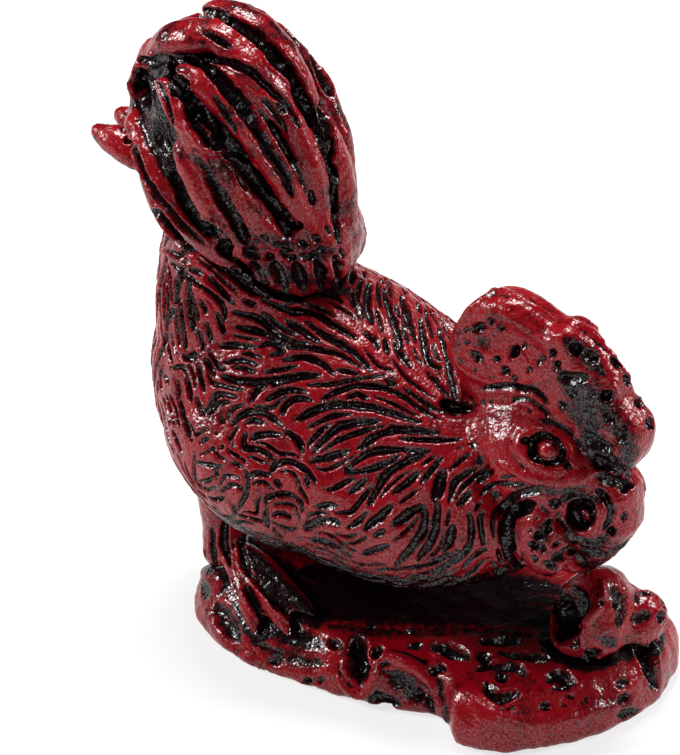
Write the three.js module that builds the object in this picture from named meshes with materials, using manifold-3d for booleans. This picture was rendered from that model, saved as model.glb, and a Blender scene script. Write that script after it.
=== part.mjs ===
// Rooster figurine: a pecking rooster on a rock plinth, cast in red resin.
// Millimetres, +Z up. The rooster looks along +X and its left side is +Y.
// Every sculpted form is a solid of its own, trimmed to its neighbour with one seam gap between them.
import * as THREE from "three";
import { mergeVertices } from "three/addons/utils/BufferGeometryUtils.js";
import Module from "manifold-3d";

const wasm = await Module();
wasm.setup();

// Driving dimensions: seams and facets
const SEAM = 0.3;
const RING_SIDES = 24;
const FEATHER_SIDES = 8;

// Driving dimensions: rock plinth
const PLINTH_LENGTH = 36.8;
const PLINTH_WIDTH = 22;
const PLINTH_HEIGHT = 4.2;
const PLINTH_REAR_RISE = 2.4;
const PLINTH_FRONT_RISE = 1.3;
const STONE_WIDTH = 7.4;
const STONE_DEPTH = 6.4;
const STONE_HEIGHT = 6.6;
const STONE_AHEAD = 13.1;
const STONE_ASIDE = 1.2;

// Driving dimensions: trunk, an egg that lies along X
const TRUNK_LENGTH = 32;
const TRUNK_WIDTH = 22.2;
const TRUNK_DEPTH = 22;
const BREAST_AHEAD = 8;
const BELLY_CLEARANCE = 2;

// Driving dimensions: neck and head
const NECK_ROOT_RADIUS = 9.4;
const NECK_NAPE_RADIUS = 5.4;
const HEAD_LENGTH = 13.6;
const HEAD_WIDTH = 9.4;
const HEAD_HEIGHT = 9.6;
const HEAD_AHEAD = 1.4;
const HEAD_RISE = 14;
const HEAD_PITCH = 9;

// Driving dimensions: comb, beak, wattles and eyes
const COMB_LENGTH = 16.6;
const COMB_HEIGHT = 9.2;
const COMB_THICKNESS = 3.6;
const COMB_EDGE_ROUND = 0.9;
const UPPER_BEAK_ROOT_RADIUS = 3.9;
const UPPER_BEAK_REACH = 3.9;
const UPPER_BEAK_DROP = 7.9;
const NOSTRIL_DIAMETER = 2.3;
const LOWER_BEAK_ROOT_RADIUS = 1.9;
const LOWER_BEAK_DROP = 6.4;
const WATTLE_LENGTH = 5.9;
const WATTLE_WIDTH = 4.3;
const WATTLE_THICKNESS = 2.6;
const EYE_DIAMETER = 1.5;
const EYE_SOCKET_LENGTH = 3.8;
const EYE_SOCKET_HEIGHT = 2.7;

// Driving dimensions: wings, folded flat on the flanks
const WING_LENGTH = 22;
const WING_DEPTH = 15;
const WING_THICKNESS = 1.1;
const WING_TILT = 14;

// Driving dimensions: tail, a leaning bulb that carries the feathers
const TAIL_LEAN = 28;
const TAIL_REACH = 10.4;
const TAIL_GIRTH = 6.7;
const TAIL_HALF_WIDTH = 6.5;
const TAIL_INSET = 6.6;
const TAIL_ABOVE = 19.2;
const MIDDLE_FEATHER_ASIDE = 1.2;
const TAIL_ROOT_LENGTH = 8.8;
const TAIL_ROOT_WIDTH = 10.6;
const TAIL_ROOT_HEIGHT = 9;
const SADDLE_INSET = 9.1;
const SADDLE_ROOT_RADIUS = 8.6;
const SADDLE_TOP_RADIUS = 6.5;
const FEATHER_WIDTH = 2.7;
const FEATHER_THICKNESS = 1.9;

// Driving dimensions: legs and feet
const LEG_BEHIND = 7.2;
const LEG_SPREAD = 5.8;
const LEG_TOP_RADIUS = 2.6;
const LEG_ANKLE_RADIUS = 1.6;
const TOE_LENGTH = 9.4;
const TOE_RADIUS = 0.95;

const TRUNK_BOTTOM = PLINTH_HEIGHT + BELLY_CLEARANCE;
const TRUNK_CENTRE = new THREE.Vector3(BREAST_AHEAD - TRUNK_LENGTH / 2, 0, TRUNK_BOTTOM + TRUNK_DEPTH / 2);
const RUMP_X = BREAST_AHEAD - TRUNK_LENGTH;
const HEAD_CENTRE = new THREE.Vector3(BREAST_AHEAD + HEAD_AHEAD, 0, TRUNK_BOTTOM + HEAD_RISE);
const TAIL_CENTRE = new THREE.Vector3(RUMP_X + TAIL_INSET, 0, TRUNK_CENTRE.z + TAIL_ABOVE);

const RED = 0x8f0f1c;
const resin = new THREE.MeshStandardMaterial({ color: RED, roughness: 0.42, metalness: 0 });
const figure = new THREE.Group();

// Solids

// A closed geometry as a solid that can be joined and cut.
function solidOf(geometry) {
  const plain = geometry.clone();
  plain.deleteAttribute("normal");
  plain.deleteAttribute("uv");
  const merged = mergeVertices(plain, 1e-4);
  const made = new wasm.Manifold(
    new wasm.Mesh({
      numProp: 3,
      vertProperties: new Float32Array(merged.attributes.position.array),
      triVerts: new Uint32Array(merged.index.array),
    }),
  );
  return made;
}

// A solid as a geometry.
function geometryOf(solid) {
  const mesh = solid.getMesh();
  const geometry = new THREE.BufferGeometry();
  geometry.setAttribute("position", new THREE.BufferAttribute(mesh.vertProperties, 3));
  geometry.setIndex(new THREE.BufferAttribute(mesh.triVerts, 1));
  geometry.computeVertexNormals();
  return geometry;
}

// Cuts every neighbour away and keeps the main body, without the offcuts.
function trim(solid, neighbours) {
  const cut = neighbours.reduce((rest, neighbour) => rest.subtract(neighbour), solid);
  const bodies = cut.decompose();
  return bodies.reduce((best, body) => (body.volume() > best.volume() ? body : best));
}

// Everything on one side of the middle plane, half a seam away from it.
function sideSpace(side) {
  const room = new THREE.BoxGeometry(TRUNK_LENGTH * 4, TRUNK_LENGTH * 4, TRUNK_LENGTH * 4);
  room.translate(0, side * (TRUNK_LENGTH * 2 + SEAM / 2), 0);
  return solidOf(room);
}

// Adds a named piece to the figure.
function place(name, solid) {
  const mesh = new THREE.Mesh(geometryOf(solid), resin);
  mesh.name = name;
  figure.add(mesh);
}

// A skin over rings of points, closed by a fan at each end.
function loft(rings) {
  const sides = rings[0].length;
  const corners = rings.flat();
  const faces = [];
  for (let row = 0; row + 1 < rings.length; row++) {
    for (let side = 0; side < sides; side++) {
      const here = row * sides + side;
      const next = row * sides + ((side + 1) % sides);
      faces.push(here, next, here + sides, next, next + sides, here + sides);
    }
  }
  const ends = [rings[0], rings.at(-1)];
  ends.forEach((ring, end) => {
    const middle = new THREE.Vector3();
    ring.forEach((corner) => middle.addScaledVector(corner, 1 / sides));
    corners.push(middle);
    const start = end ? (rings.length - 1) * sides : 0;
    for (let side = 0; side < sides; side++) {
      const here = start + side;
      const next = start + ((side + 1) % sides);
      faces.push(...(end ? [here, next, corners.length - 1] : [next, here, corners.length - 1]));
    }
  });
  const geometry = new THREE.BufferGeometry().setFromPoints(corners);
  geometry.setIndex(faces);
  const signed = signedVolume(corners, faces);
  if (signed < 0) {
    geometry.setIndex(faces.reverse());
  }
  return geometry;
}

// The volume that the faces enclose, negative where they point inwards.
function signedVolume(corners, faces) {
  let sum = 0;
  for (let i = 0; i < faces.length; i += 3) {
    const [a, b, c] = faces.slice(i, i + 3).map((index) => corners[index]);
    sum += a.dot(new THREE.Vector3().crossVectors(b, c)) / 6;
  }
  return sum;
}

// A ring of points round a centre: two half axes, and a power under 2 that narrows its upper half.
function ring(centre, across, upwards, sides, roofPower = 2) {
  const points = [];
  for (let side = 0; side < sides; side++) {
    const angle = (2 * Math.PI * side) / sides;
    const power = Math.sin(angle) > 0 ? roofPower : 2;
    const reach = (value) => Math.sign(value) * Math.abs(value) ** (2 / power);
    const point = centre.clone();
    point.addScaledVector(across, reach(Math.cos(angle)));
    point.addScaledVector(upwards, reach(Math.sin(angle)));
    points.push(point);
  }
  return points;
}

// A limb along a smooth spine: each station gives the radius across and the radius upwards there.
function limb(spinePoints, stations, grow, sides = RING_SIDES, rows = 12) {
  const spine = new THREE.CatmullRomCurve3(spinePoints, false, "centripetal");
  const rings = [];
  const side = new THREE.Vector3(0, 1, 0);
  for (let row = 0; row <= rows; row++) {
    const share = row / rows;
    const along = spine.getTangentAt(share);
    const across = side.clone().addScaledVector(along, -side.dot(along)).normalize();
    const upwards = new THREE.Vector3().crossVectors(along, across);
    const end = Math.sqrt(Math.max(0, 1 - (2 * share - 1) ** 12));
    const wide = between(stations, share, 0) * Math.max(end, 0.35) + grow;
    const high = between(stations, share, 1) * Math.max(end, 0.35) + grow;
    const centre = spine.getPointAt(share);
    centre.addScaledVector(along, grow * (2 * share - 1));
    rings.push(ring(centre, across.multiplyScalar(wide), upwards.multiplyScalar(high), sides));
  }
  return solidOf(loft(rings));
}

// The value of one column at a share of the way down a list of stations.
function between(stations, share, column) {
  const place = share * (stations.length - 1);
  const first = Math.min(Math.floor(place), stations.length - 2);
  return THREE.MathUtils.lerp(stations[first][column], stations[first + 1][column], place - first);
}

// A ball stretched to three half axes, turned about Y and moved.
function ball(centre, halves, pitch, grow, detail = 20) {
  const geometry = new THREE.SphereGeometry(1, detail, Math.round(detail * 0.7));
  geometry.scale(halves.x + grow, halves.y + grow, halves.z + grow);
  geometry.rotateY(THREE.MathUtils.degToRad(pitch));
  geometry.translate(centre.x, centre.y, centre.z);
  return solidOf(geometry);
}

// Trunk

// Egg stations from rump to breast: share of the length, then shares of the width, top and bottom.
const TRUNK_STATIONS = [
  [0, 0.2, 0.45, 0.1],
  [0.04, 0.44, 0.7, 0.36],
  [0.14, 0.74, 0.94, 0.7],
  [0.3, 0.94, 1.02, 0.93],
  [0.5, 1, 0.95, 1],
  [0.7, 0.97, 0.72, 1],
  [0.84, 0.84, 0.54, 0.92],
  [0.95, 0.56, 0.34, 0.68],
  [1, 0.22, 0.12, 0.32],
];

const trunkFairing = new THREE.CubicInterpolant(
  TRUNK_STATIONS.map(([share]) => share),
  TRUNK_STATIONS.flatMap(([, ...shares]) => shares),
  3,
);

function trunkSolid(grow) {
  const rows = 14;
  const rings = Array.from({ length: rows + 1 }, (_, row) => {
    const share = (1 - Math.cos((Math.PI * row) / rows)) / 2;
    const [wide, top, bottom] = trunkFairing.evaluate(share);
    const x = TRUNK_CENTRE.x + (share - 0.5) * (TRUNK_LENGTH + 2 * grow);
    const high = ((top + bottom) * TRUNK_DEPTH) / 4 + grow;
    const centre = new THREE.Vector3(x, 0, TRUNK_CENTRE.z + ((top - bottom) * TRUNK_DEPTH) / 4);
    const across = new THREE.Vector3(0, (wide * TRUNK_WIDTH) / 2 + grow, 0);
    return ring(centre, across, new THREE.Vector3(0, 0, high), RING_SIDES, 1.8);
  });
  return solidOf(loft(rings));
}

// Neck and head

function neckSolid(grow) {
  const root = TRUNK_CENTRE.clone().add(new THREE.Vector3(TRUNK_LENGTH * 0.16, 0, -TRUNK_DEPTH * 0.08));
  const nape = HEAD_CENTRE.clone().add(new THREE.Vector3(-HEAD_LENGTH * 0.04, 0, -HEAD_HEIGHT * 0.18));
  const bend = root.clone().lerp(nape, 0.5);
  bend.z -= NECK_ROOT_RADIUS * 0.16;
  const stations = [
    [NECK_ROOT_RADIUS * 0.9, NECK_ROOT_RADIUS * 0.78],
    [NECK_ROOT_RADIUS, NECK_ROOT_RADIUS * 0.83],
    [NECK_ROOT_RADIUS * 0.95, NECK_ROOT_RADIUS * 0.82],
    [(NECK_ROOT_RADIUS + NECK_NAPE_RADIUS) / 2, (NECK_ROOT_RADIUS + NECK_NAPE_RADIUS) * 0.44],
    [NECK_NAPE_RADIUS, NECK_NAPE_RADIUS * 0.9],
  ];
  return limb([root, bend, nape], stations, grow, RING_SIDES, 9);
}

function headSolid(grow) {
  const halves = new THREE.Vector3(HEAD_LENGTH / 2, HEAD_WIDTH / 2, HEAD_HEIGHT / 2);
  return ball(HEAD_CENTRE, halves, HEAD_PITCH, grow, 16);
}

// Comb: a lobed blade on the crown, from shares of its length and height

const COMB_OUTLINE = [
  [0.2, -0.1],
  [0.02, 0.28],
  [0.01, 0.48],
  [0.1, 0.82],
  [0.24, 1],
  [0.4, 0.99],
  [0.52, 0.91],
  [0.62, 0.96],
  [0.76, 0.78],
  [0.85, 0.6],
  [0.88, 0.44],
  [0.98, 0.28],
  [0.99, 0.05],
  [0.93, -0.16],
  [0.8, -0.3],
  [0.5, -0.35],
];

function combSolid(grow) {
  const points = COMB_OUTLINE.map(([along, up]) => new THREE.Vector2(along * COMB_LENGTH, up * COMB_HEIGHT));
  const outline = new THREE.Shape(new THREE.SplineCurve([...points, points[0]]).getPoints(40).slice(0, -1));
  const geometry = new THREE.ExtrudeGeometry(outline, {
    depth: COMB_THICKNESS - 2 * COMB_EDGE_ROUND + 2 * grow,
    bevelThickness: COMB_EDGE_ROUND,
    bevelSize: COMB_EDGE_ROUND,
    bevelOffset: grow - COMB_EDGE_ROUND,
    bevelSegments: 2,
    curveSegments: 1,
  });
  geometry.translate(0, 0, -COMB_THICKNESS / 2 + COMB_EDGE_ROUND - grow);
  geometry.rotateX(Math.PI / 2);
  geometry.translate(HEAD_CENTRE.x - COMB_LENGTH * 0.49, 0, HEAD_CENTRE.z + HEAD_HEIGHT * 0.32);
  return solidOf(geometry);
}

// Beak, wattles and eyes

// Beak stations from the root to the tip: shares of the reach and of the drop, then of the root radius.
const UPPER_BEAK_STATIONS = [
  [0, 0, 1],
  [0.98, 0.22, 1.04],
  [0.93, 0.55, 0.84],
  [0.8, 0.82, 0.58],
  [0.68, 1, 0.3],
];

function upperBeakSpine() {
  const root = HEAD_CENTRE.clone().add(new THREE.Vector3(HEAD_LENGTH * 0.05, 0, -HEAD_HEIGHT * 0.04));
  return UPPER_BEAK_STATIONS.map(
    ([ahead, down]) => new THREE.Vector3(root.x + ahead * UPPER_BEAK_REACH, 0, root.z - down * UPPER_BEAK_DROP),
  );
}

function upperBeakSolid(grow) {
  const stations = UPPER_BEAK_STATIONS.map(([, , share]) => {
    const radius = share * UPPER_BEAK_ROOT_RADIUS;
    return [radius, radius];
  });
  return limb(upperBeakSpine(), stations, grow, 16, 10);
}

function nostrilSolid(side) {
  const centre = upperBeakSpine()[1];
  centre.y = side * UPPER_BEAK_ROOT_RADIUS * 0.98;
  const half = NOSTRIL_DIAMETER / 2;
  return ball(centre, new THREE.Vector3(half, half, half), 0, 0, 12);
}

function lowerBeakSolid(grow) {
  const root = HEAD_CENTRE.clone().add(new THREE.Vector3(HEAD_LENGTH * 0.13, 0, -HEAD_HEIGHT * 0.3));
  const spine = [
    root,
    root.clone().add(new THREE.Vector3(HEAD_LENGTH * 0.05, 0, -LOWER_BEAK_DROP * 0.5)),
    root.clone().add(new THREE.Vector3(HEAD_LENGTH * 0.04, 0, -LOWER_BEAK_DROP)),
  ];
  const stations = [
    [LOWER_BEAK_ROOT_RADIUS, LOWER_BEAK_ROOT_RADIUS],
    [LOWER_BEAK_ROOT_RADIUS * 0.95, LOWER_BEAK_ROOT_RADIUS * 0.95],
    [LOWER_BEAK_ROOT_RADIUS * 0.8, LOWER_BEAK_ROOT_RADIUS * 0.8],
  ];
  return limb(spine, stations, grow, 14, 8);
}

function wattleSolid(side, grow) {
  const centre = new THREE.Vector3(
    HEAD_CENTRE.x + HEAD_LENGTH * 0.17,
    side * (HEAD_WIDTH / 2 - WATTLE_THICKNESS * 0.22),
    HEAD_CENTRE.z - HEAD_HEIGHT * 0.28 - WATTLE_LENGTH * 0.3,
  );
  const halves = new THREE.Vector3(WATTLE_WIDTH / 2, WATTLE_THICKNESS / 2, WATTLE_LENGTH / 2);
  return ball(centre, halves, -12, grow, 14);
}

function eyeCentre(side) {
  return new THREE.Vector3(
    HEAD_CENTRE.x + HEAD_LENGTH * 0.16,
    side * HEAD_WIDTH * 0.35,
    HEAD_CENTRE.z + HEAD_HEIGHT * 0.3,
  );
}

function eyeSolid(side, grow) {
  const half = EYE_DIAMETER / 2;
  return ball(eyeCentre(side), new THREE.Vector3(half, half, half), 0, grow, 10);
}

// The almond that the lids leave open round the eye.
function eyeSocketSolid(side) {
  const halves = new THREE.Vector3(EYE_SOCKET_LENGTH / 2, EYE_DIAMETER * 0.45, EYE_SOCKET_HEIGHT / 2);
  return ball(eyeCentre(side), halves, HEAD_PITCH, 0, 12);
}

// Wings: a lens on each flank, rounder than the flank, so that its edge runs out into the trunk

function wingSolid(side, grow) {
  const flank = TRUNK_WIDTH / 2;
  const bulk = flank * 0.72;
  const halfAxis = (half, trunkHalf) => {
    const trunkBend = flank / trunkHalf ** 2;
    const wingBend = (2 * (WING_THICKNESS + SEAM)) / half ** 2 + trunkBend;
    return Math.sqrt(bulk / wingBend);
  };
  const halves = new THREE.Vector3(
    halfAxis(WING_LENGTH / 2, TRUNK_LENGTH / 2),
    bulk,
    halfAxis(WING_DEPTH / 2, TRUNK_DEPTH / 2),
  );
  const centre = TRUNK_CENTRE.clone().add(new THREE.Vector3(-TRUNK_LENGTH * 0.07, 0, -TRUNK_DEPTH * 0.06));
  centre.y = side * (flank * 0.96 + SEAM + WING_THICKNESS - bulk);
  return ball(centre, halves, WING_TILT, grow, 20);
}

// Tail: the bulb and the feathers that lie along it

const TAIL_UP = new THREE.Vector3(0, 0, 1).applyAxisAngle(
  new THREE.Vector3(0, 1, 0),
  THREE.MathUtils.degToRad(-TAIL_LEAN),
);
const TAIL_FORWARD = new THREE.Vector3(1, 0, 0).applyAxisAngle(
  new THREE.Vector3(0, 1, 0),
  THREE.MathUtils.degToRad(-TAIL_LEAN),
);

function tailCoreSolid(grow) {
  const halves = new THREE.Vector3(TAIL_GIRTH, TAIL_HALF_WIDTH, TAIL_REACH);
  return ball(TAIL_CENTRE, halves, -TAIL_LEAN, grow, 16);
}

// A point on the bulb from shares of its half axes, lifted off its skin; side 0 is the middle feather.
function onTail(forward, up, side, lift) {
  const inside = Math.max(0, 1 - forward * forward - up * up);
  const aside = side * Math.max(Math.sqrt(inside), 0.2);
  const point = TAIL_CENTRE.clone();
  point.addScaledVector(TAIL_FORWARD, forward * (TAIL_GIRTH + lift));
  point.addScaledVector(TAIL_UP, up * (TAIL_REACH + lift));
  point.y += side ? aside * (TAIL_HALF_WIDTH + lift) : MIDDLE_FEATHER_ASIDE;
  return point;
}

// The way out from the bulb at a point.
function tailOutward(point) {
  const away = point.clone().sub(TAIL_CENTRE);
  const out = new THREE.Vector3(0, away.y / TAIL_HALF_WIDTH ** 2, 0);
  out.addScaledVector(TAIL_FORWARD, away.dot(TAIL_FORWARD) / TAIL_GIRTH ** 2);
  out.addScaledVector(TAIL_UP, away.dot(TAIL_UP) / TAIL_REACH ** 2);
  return out.normalize();
}

// Feather stations from root to tip: share of the length, then share of the full section.
const FEATHER_STATIONS = [
  [0, 0.45],
  [0.18, 0.72],
  [0.38, 0.94],
  [0.58, 1],
  [0.74, 0.97],
  [0.87, 0.84],
  [0.96, 0.56],
  [1, 0.2],
];

// A feather: a lens section swept along a spine on the bulb, wide in the middle and round at the tip.
function featherSolid({ root, bow, tip, wide }, side, grow) {
  const path = new THREE.QuadraticBezierCurve(
    new THREE.Vector2(...root),
    new THREE.Vector2(...bow),
    new THREE.Vector2(...tip),
  );
  const spine = path.getPoints(8).map((spot) => onTail(spot.x, spot.y, side, FEATHER_THICKNESS * 0.3));
  const curve = new THREE.CatmullRomCurve3(spine, false, "centripetal");
  const rings = FEATHER_STATIONS.map(([share, swell]) => {
    const centre = curve.getPointAt(share);
    const along = curve.getTangentAt(share);
    const out = tailOutward(centre);
    const across = new THREE.Vector3().crossVectors(along, out).normalize();
    const lift = new THREE.Vector3().crossVectors(across, along).normalize();
    const half = (FEATHER_WIDTH / 2) * wide * swell + grow;
    const thick = (FEATHER_THICKNESS / 2) * swell + grow;
    centre.addScaledVector(along, grow * (2 * share - 1));
    return ring(centre, across.multiplyScalar(half), lift.multiplyScalar(thick), FEATHER_SIDES);
  });
  return solidOf(loft(rings));
}

// Saddle: the short feathers that carry the back and rump up into the tail

function saddleSolid(grow) {
  const root = new THREE.Vector3(RUMP_X + SADDLE_INSET, 0, TRUNK_CENTRE.z + TRUNK_DEPTH * 0.02);
  const top = TAIL_CENTRE.clone().addScaledVector(TAIL_UP, -TAIL_REACH * 0.36);
  top.addScaledVector(TAIL_FORWARD, -TAIL_GIRTH * 0.1);
  const bend = root.clone().lerp(top, 0.5);
  bend.x -= SADDLE_ROOT_RADIUS * 0.1;
  const stations = [
    [SADDLE_ROOT_RADIUS, SADDLE_ROOT_RADIUS],
    [SADDLE_ROOT_RADIUS, SADDLE_ROOT_RADIUS],
    [(SADDLE_ROOT_RADIUS + SADDLE_TOP_RADIUS) / 2, (SADDLE_ROOT_RADIUS + SADDLE_TOP_RADIUS) / 2],
    [SADDLE_TOP_RADIUS, SADDLE_TOP_RADIUS * 1.1],
    [SADDLE_TOP_RADIUS * 0.9, SADDLE_TOP_RADIUS],
  ];
  return limb([root, bend, top], stations, grow, RING_SIDES, 6);
}

// Tail root: the rough knot on the front of the bulb's foot, where the feathers run together
function tailRootSolid(grow) {
  const centre = TAIL_CENTRE.clone().addScaledVector(TAIL_UP, -TAIL_REACH * 0.7);
  centre.addScaledVector(TAIL_FORWARD, TAIL_GIRTH * 0.28);
  const halves = new THREE.Vector3(TAIL_ROOT_LENGTH / 2, TAIL_ROOT_WIDTH / 2, TAIL_ROOT_HEIGHT / 2);
  return ball(centre, halves, -TAIL_LEAN, grow, 14);
}

// Feathers: root, bow and tip in shares of the bulb's half axes, then the width share.
// Those over the top differ from side to side; those below them, from the front to the rear, are alike.
const TOP_FEATHERS = {
  right: [
    { root: [0.98, 0.1], bow: [0.94, 1.04], tip: [-0.28, 0.92], wide: 1.2 },
    { root: [0.74, -0.7], bow: [1.34, 0.22], tip: [0.5, 0.72], wide: 0.85 },
  ],
  left: [{ root: [0.98, 0.14], bow: [0.96, 0.94], tip: [0.08, 0.98], wide: 1.05 }],
};
const SIDE_FEATHERS = [
  { root: [0.7, -0.72], bow: [1.14, 0.3], tip: [0.2, 0.78], wide: 0.85 },
  { root: [0.54, -0.76], bow: [0.58, 0.34], tip: [-0.06, 0.74], wide: 0.9 },
  { root: [0.26, -0.82], bow: [0.28, -0.14], tip: [0.08, 0.34], wide: 0.85 },
  { root: [0.02, -0.84], bow: [-0.26, 0.1], tip: [-0.82, 0.5], wide: 0.9 },
  { root: [-0.38, -0.74], bow: [-0.84, 0.02], tip: [-1.66, 0.44], wide: 0.9 },
  { root: [-0.3, -0.96], bow: [-0.72, -0.6], tip: [-1.18, -0.1], wide: 0.85 },
  { root: [-0.4, -0.66], bow: [-0.78, -0.04], tip: [-0.94, 0.22], wide: 1 },
  { root: [-0.16, 0.9], bow: [-0.92, 0.92], tip: [-1, -0.1], wide: 1.25 },
];
const MIDDLE_FEATHER = { root: [0.7, -0.82], bow: [1.12, -0.26], tip: [0.95, 0.16], wide: 0.95 };

// Plinth

// Ground outline in shares of the half length and half width, with a notch and a lobe on the right side.
const PLINTH_OUTLINE = [
  [-1, 0],
  [-0.97, -0.6],
  [-0.8, -0.92],
  [-0.48, -1.04],
  [-0.1, -1],
  [0.2, -0.88],
  [0.35, -0.78],
  [0.5, -1],
  [0.72, -0.82],
  [0.93, -0.33],
  [1, 0.2],
  [0.9, 0.74],
  [0.62, 0.98],
  [0.1, 0.92],
  [-0.4, 0.98],
  [-0.86, 0.8],
];

// Levels from the ground up: share of the height, then share of the outline at the front and at the rear.
const PLINTH_LEVELS = [
  [0, 0.98, 0.98],
  [0.16, 1, 1],
  [0.5, 0.995, 0.95],
  [0.8, 0.955, 0.84],
  [0.96, 0.88, 0.72],
  [1, 0.74, 0.6],
  [1, 0.5, 0.42],
  [1, 0.24, 0.22],
];

const plinthCorners = new THREE.CatmullRomCurve3(
  PLINTH_OUTLINE.map(
    ([along, aside]) => new THREE.Vector3((along * PLINTH_LENGTH) / 2, (aside * PLINTH_WIDTH) / 2, 0),
  ),
  true,
  "centripetal",
).getSpacedPoints(48);

// The share of the outline at one level, steeper at the front than at the rear.
function plinthSpread([, front, rear], corner) {
  return THREE.MathUtils.lerp(rear, front, THREE.MathUtils.smoothstep(corner.x / PLINTH_LENGTH, -0.2, 0.1));
}

function plinthRise(x, y) {
  const behind = (x + PLINTH_LENGTH * 0.36) / (PLINTH_LENGTH * 0.18);
  const aside = y / (PLINTH_WIDTH * 0.42);
  const ahead = (x - PLINTH_LENGTH * 0.38) / (PLINTH_LENGTH * 0.12);
  const left = (y - PLINTH_WIDTH * 0.12) / (PLINTH_WIDTH * 0.2);
  const rear = PLINTH_REAR_RISE * Math.exp(-behind * behind - aside * aside);
  return rear + PLINTH_FRONT_RISE * Math.exp(-ahead * ahead - left * left);
}

function plinthSolid(grow) {
  const rings = PLINTH_LEVELS.map((level) =>
    plinthCorners.slice(0, -1).map((corner) => {
      const point = corner.clone().multiplyScalar(plinthSpread(level, corner));
      point.addScaledVector(corner.clone().normalize(), grow);
      point.z = level[0] * (PLINTH_HEIGHT + grow + plinthRise(point.x, point.y));
      return point;
    }),
  );
  return solidOf(loft(rings));
}

// The height of the plinth's skin over a point of the ground.
function plinthSkin(x, y) {
  const spot = new THREE.Vector3(x, y, 0);
  const corner = plinthCorners.reduce((best, next) => (next.angleTo(spot) < best.angleTo(spot) ? next : best));
  const reach = spot.length() / corner.length();
  const above = PLINTH_LEVELS.findLastIndex((level) => plinthSpread(level, corner) >= reach);
  const [lower, upper] = [PLINTH_LEVELS[above], PLINTH_LEVELS[above + 1]];
  if (!lower || !upper) {
    return lower ? PLINTH_HEIGHT + plinthRise(x, y) : 0;
  }
  const [wide, narrow] = [plinthSpread(lower, corner), plinthSpread(upper, corner)];
  const share = THREE.MathUtils.lerp(lower[0], upper[0], (wide - reach) / (wide - narrow));
  return share * (PLINTH_HEIGHT + plinthRise(x, y));
}

// Legs and feet

function legSolid(side, grow) {
  const x = TRUNK_CENTRE.x - LEG_BEHIND;
  const hip = new THREE.Vector3(x, side * LEG_SPREAD, TRUNK_CENTRE.z - TRUNK_DEPTH * 0.22);
  const ankle = new THREE.Vector3(x - 0.4, side * LEG_SPREAD, PLINTH_HEIGHT * 0.7);
  const stations = [
    [LEG_TOP_RADIUS, LEG_TOP_RADIUS],
    [LEG_ANKLE_RADIUS * 1.1, LEG_ANKLE_RADIUS * 1.1],
    [LEG_ANKLE_RADIUS, LEG_ANKLE_RADIUS],
  ];
  return limb([hip, hip.clone().lerp(ankle, 0.5), ankle], stations, grow, 14, 6);
}

// Toes from the inner one out: degrees turned outwards from straight ahead, and share of the toe length.
const TOES = [
  { turn: 15, reach: 1.12 },
  { turn: 26, reach: 1.08 },
  { turn: 38, reach: 0.86 },
];

function footSolid(side) {
  const heel = new THREE.Vector3(TRUNK_CENTRE.x - LEG_BEHIND, side * LEG_SPREAD, 0);
  const toes = TOES.map(({ turn, reach }) => {
    const way = THREE.MathUtils.degToRad(turn) * side;
    const along = new THREE.Vector3(Math.cos(way), Math.sin(way), 0).multiplyScalar(TOE_LENGTH * reach);
    const spine = [0, 0.3, 0.55, 0.8, 1].map((share) => {
      const spot = heel.clone().addScaledVector(along, share);
      spot.z = plinthSkin(spot.x, spot.y) + SEAM + TOE_RADIUS * (0.6 - 0.4 * share);
      return spot;
    });
    const stations = [
      [TOE_RADIUS, TOE_RADIUS],
      [TOE_RADIUS, TOE_RADIUS],
      [TOE_RADIUS * 0.7, TOE_RADIUS * 0.7],
    ];
    return limb(spine, stations, 0, 8, 8);
  });
  return toes.reduce((joined, toe) => joined.add(toe));
}

// Stone

function stoneSolid() {
  const centre = new THREE.Vector3(STONE_AHEAD, STONE_ASIDE, PLINTH_HEIGHT + STONE_HEIGHT * 0.28);
  const halves = new THREE.Vector3(STONE_DEPTH / 2, STONE_WIDTH / 2, STONE_HEIGHT * 0.72);
  const boulder = ball(centre, halves, 8, 0, 14);
  const hollow = centre.clone();
  hollow.add(new THREE.Vector3(-STONE_DEPTH * 0.22, -STONE_WIDTH * 0.5, STONE_HEIGHT * 0.5));
  const scoop = new THREE.Vector3(STONE_DEPTH * 0.42, STONE_WIDTH * 0.5, STONE_HEIGHT * 0.62);
  const lump = centre.clone().add(new THREE.Vector3(STONE_DEPTH * 0.36, STONE_WIDTH * 0.3, -STONE_HEIGHT * 0.12));
  const shoulder = new THREE.Vector3(STONE_DEPTH * 0.34, STONE_WIDTH * 0.34, STONE_HEIGHT * 0.5);
  return boulder.subtract(ball(hollow, scoop, 0, 0, 12)).add(ball(lump, shoulder, 20, 0, 12));
}

// Assembly: each piece is trimmed by the pieces that it is bonded to

const plinth = plinthSolid(0);
place("plinth", plinth);
place("pecking_stone", trim(stoneSolid(), [plinthSolid(SEAM), upperBeakSolid(SEAM), lowerBeakSolid(SEAM)]));

const trunkGap = trunkSolid(SEAM);
const headGap = headSolid(SEAM);
const neckGap = neckSolid(SEAM);
const sides = [
  ["right", -1],
  ["left", 1],
];

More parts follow.
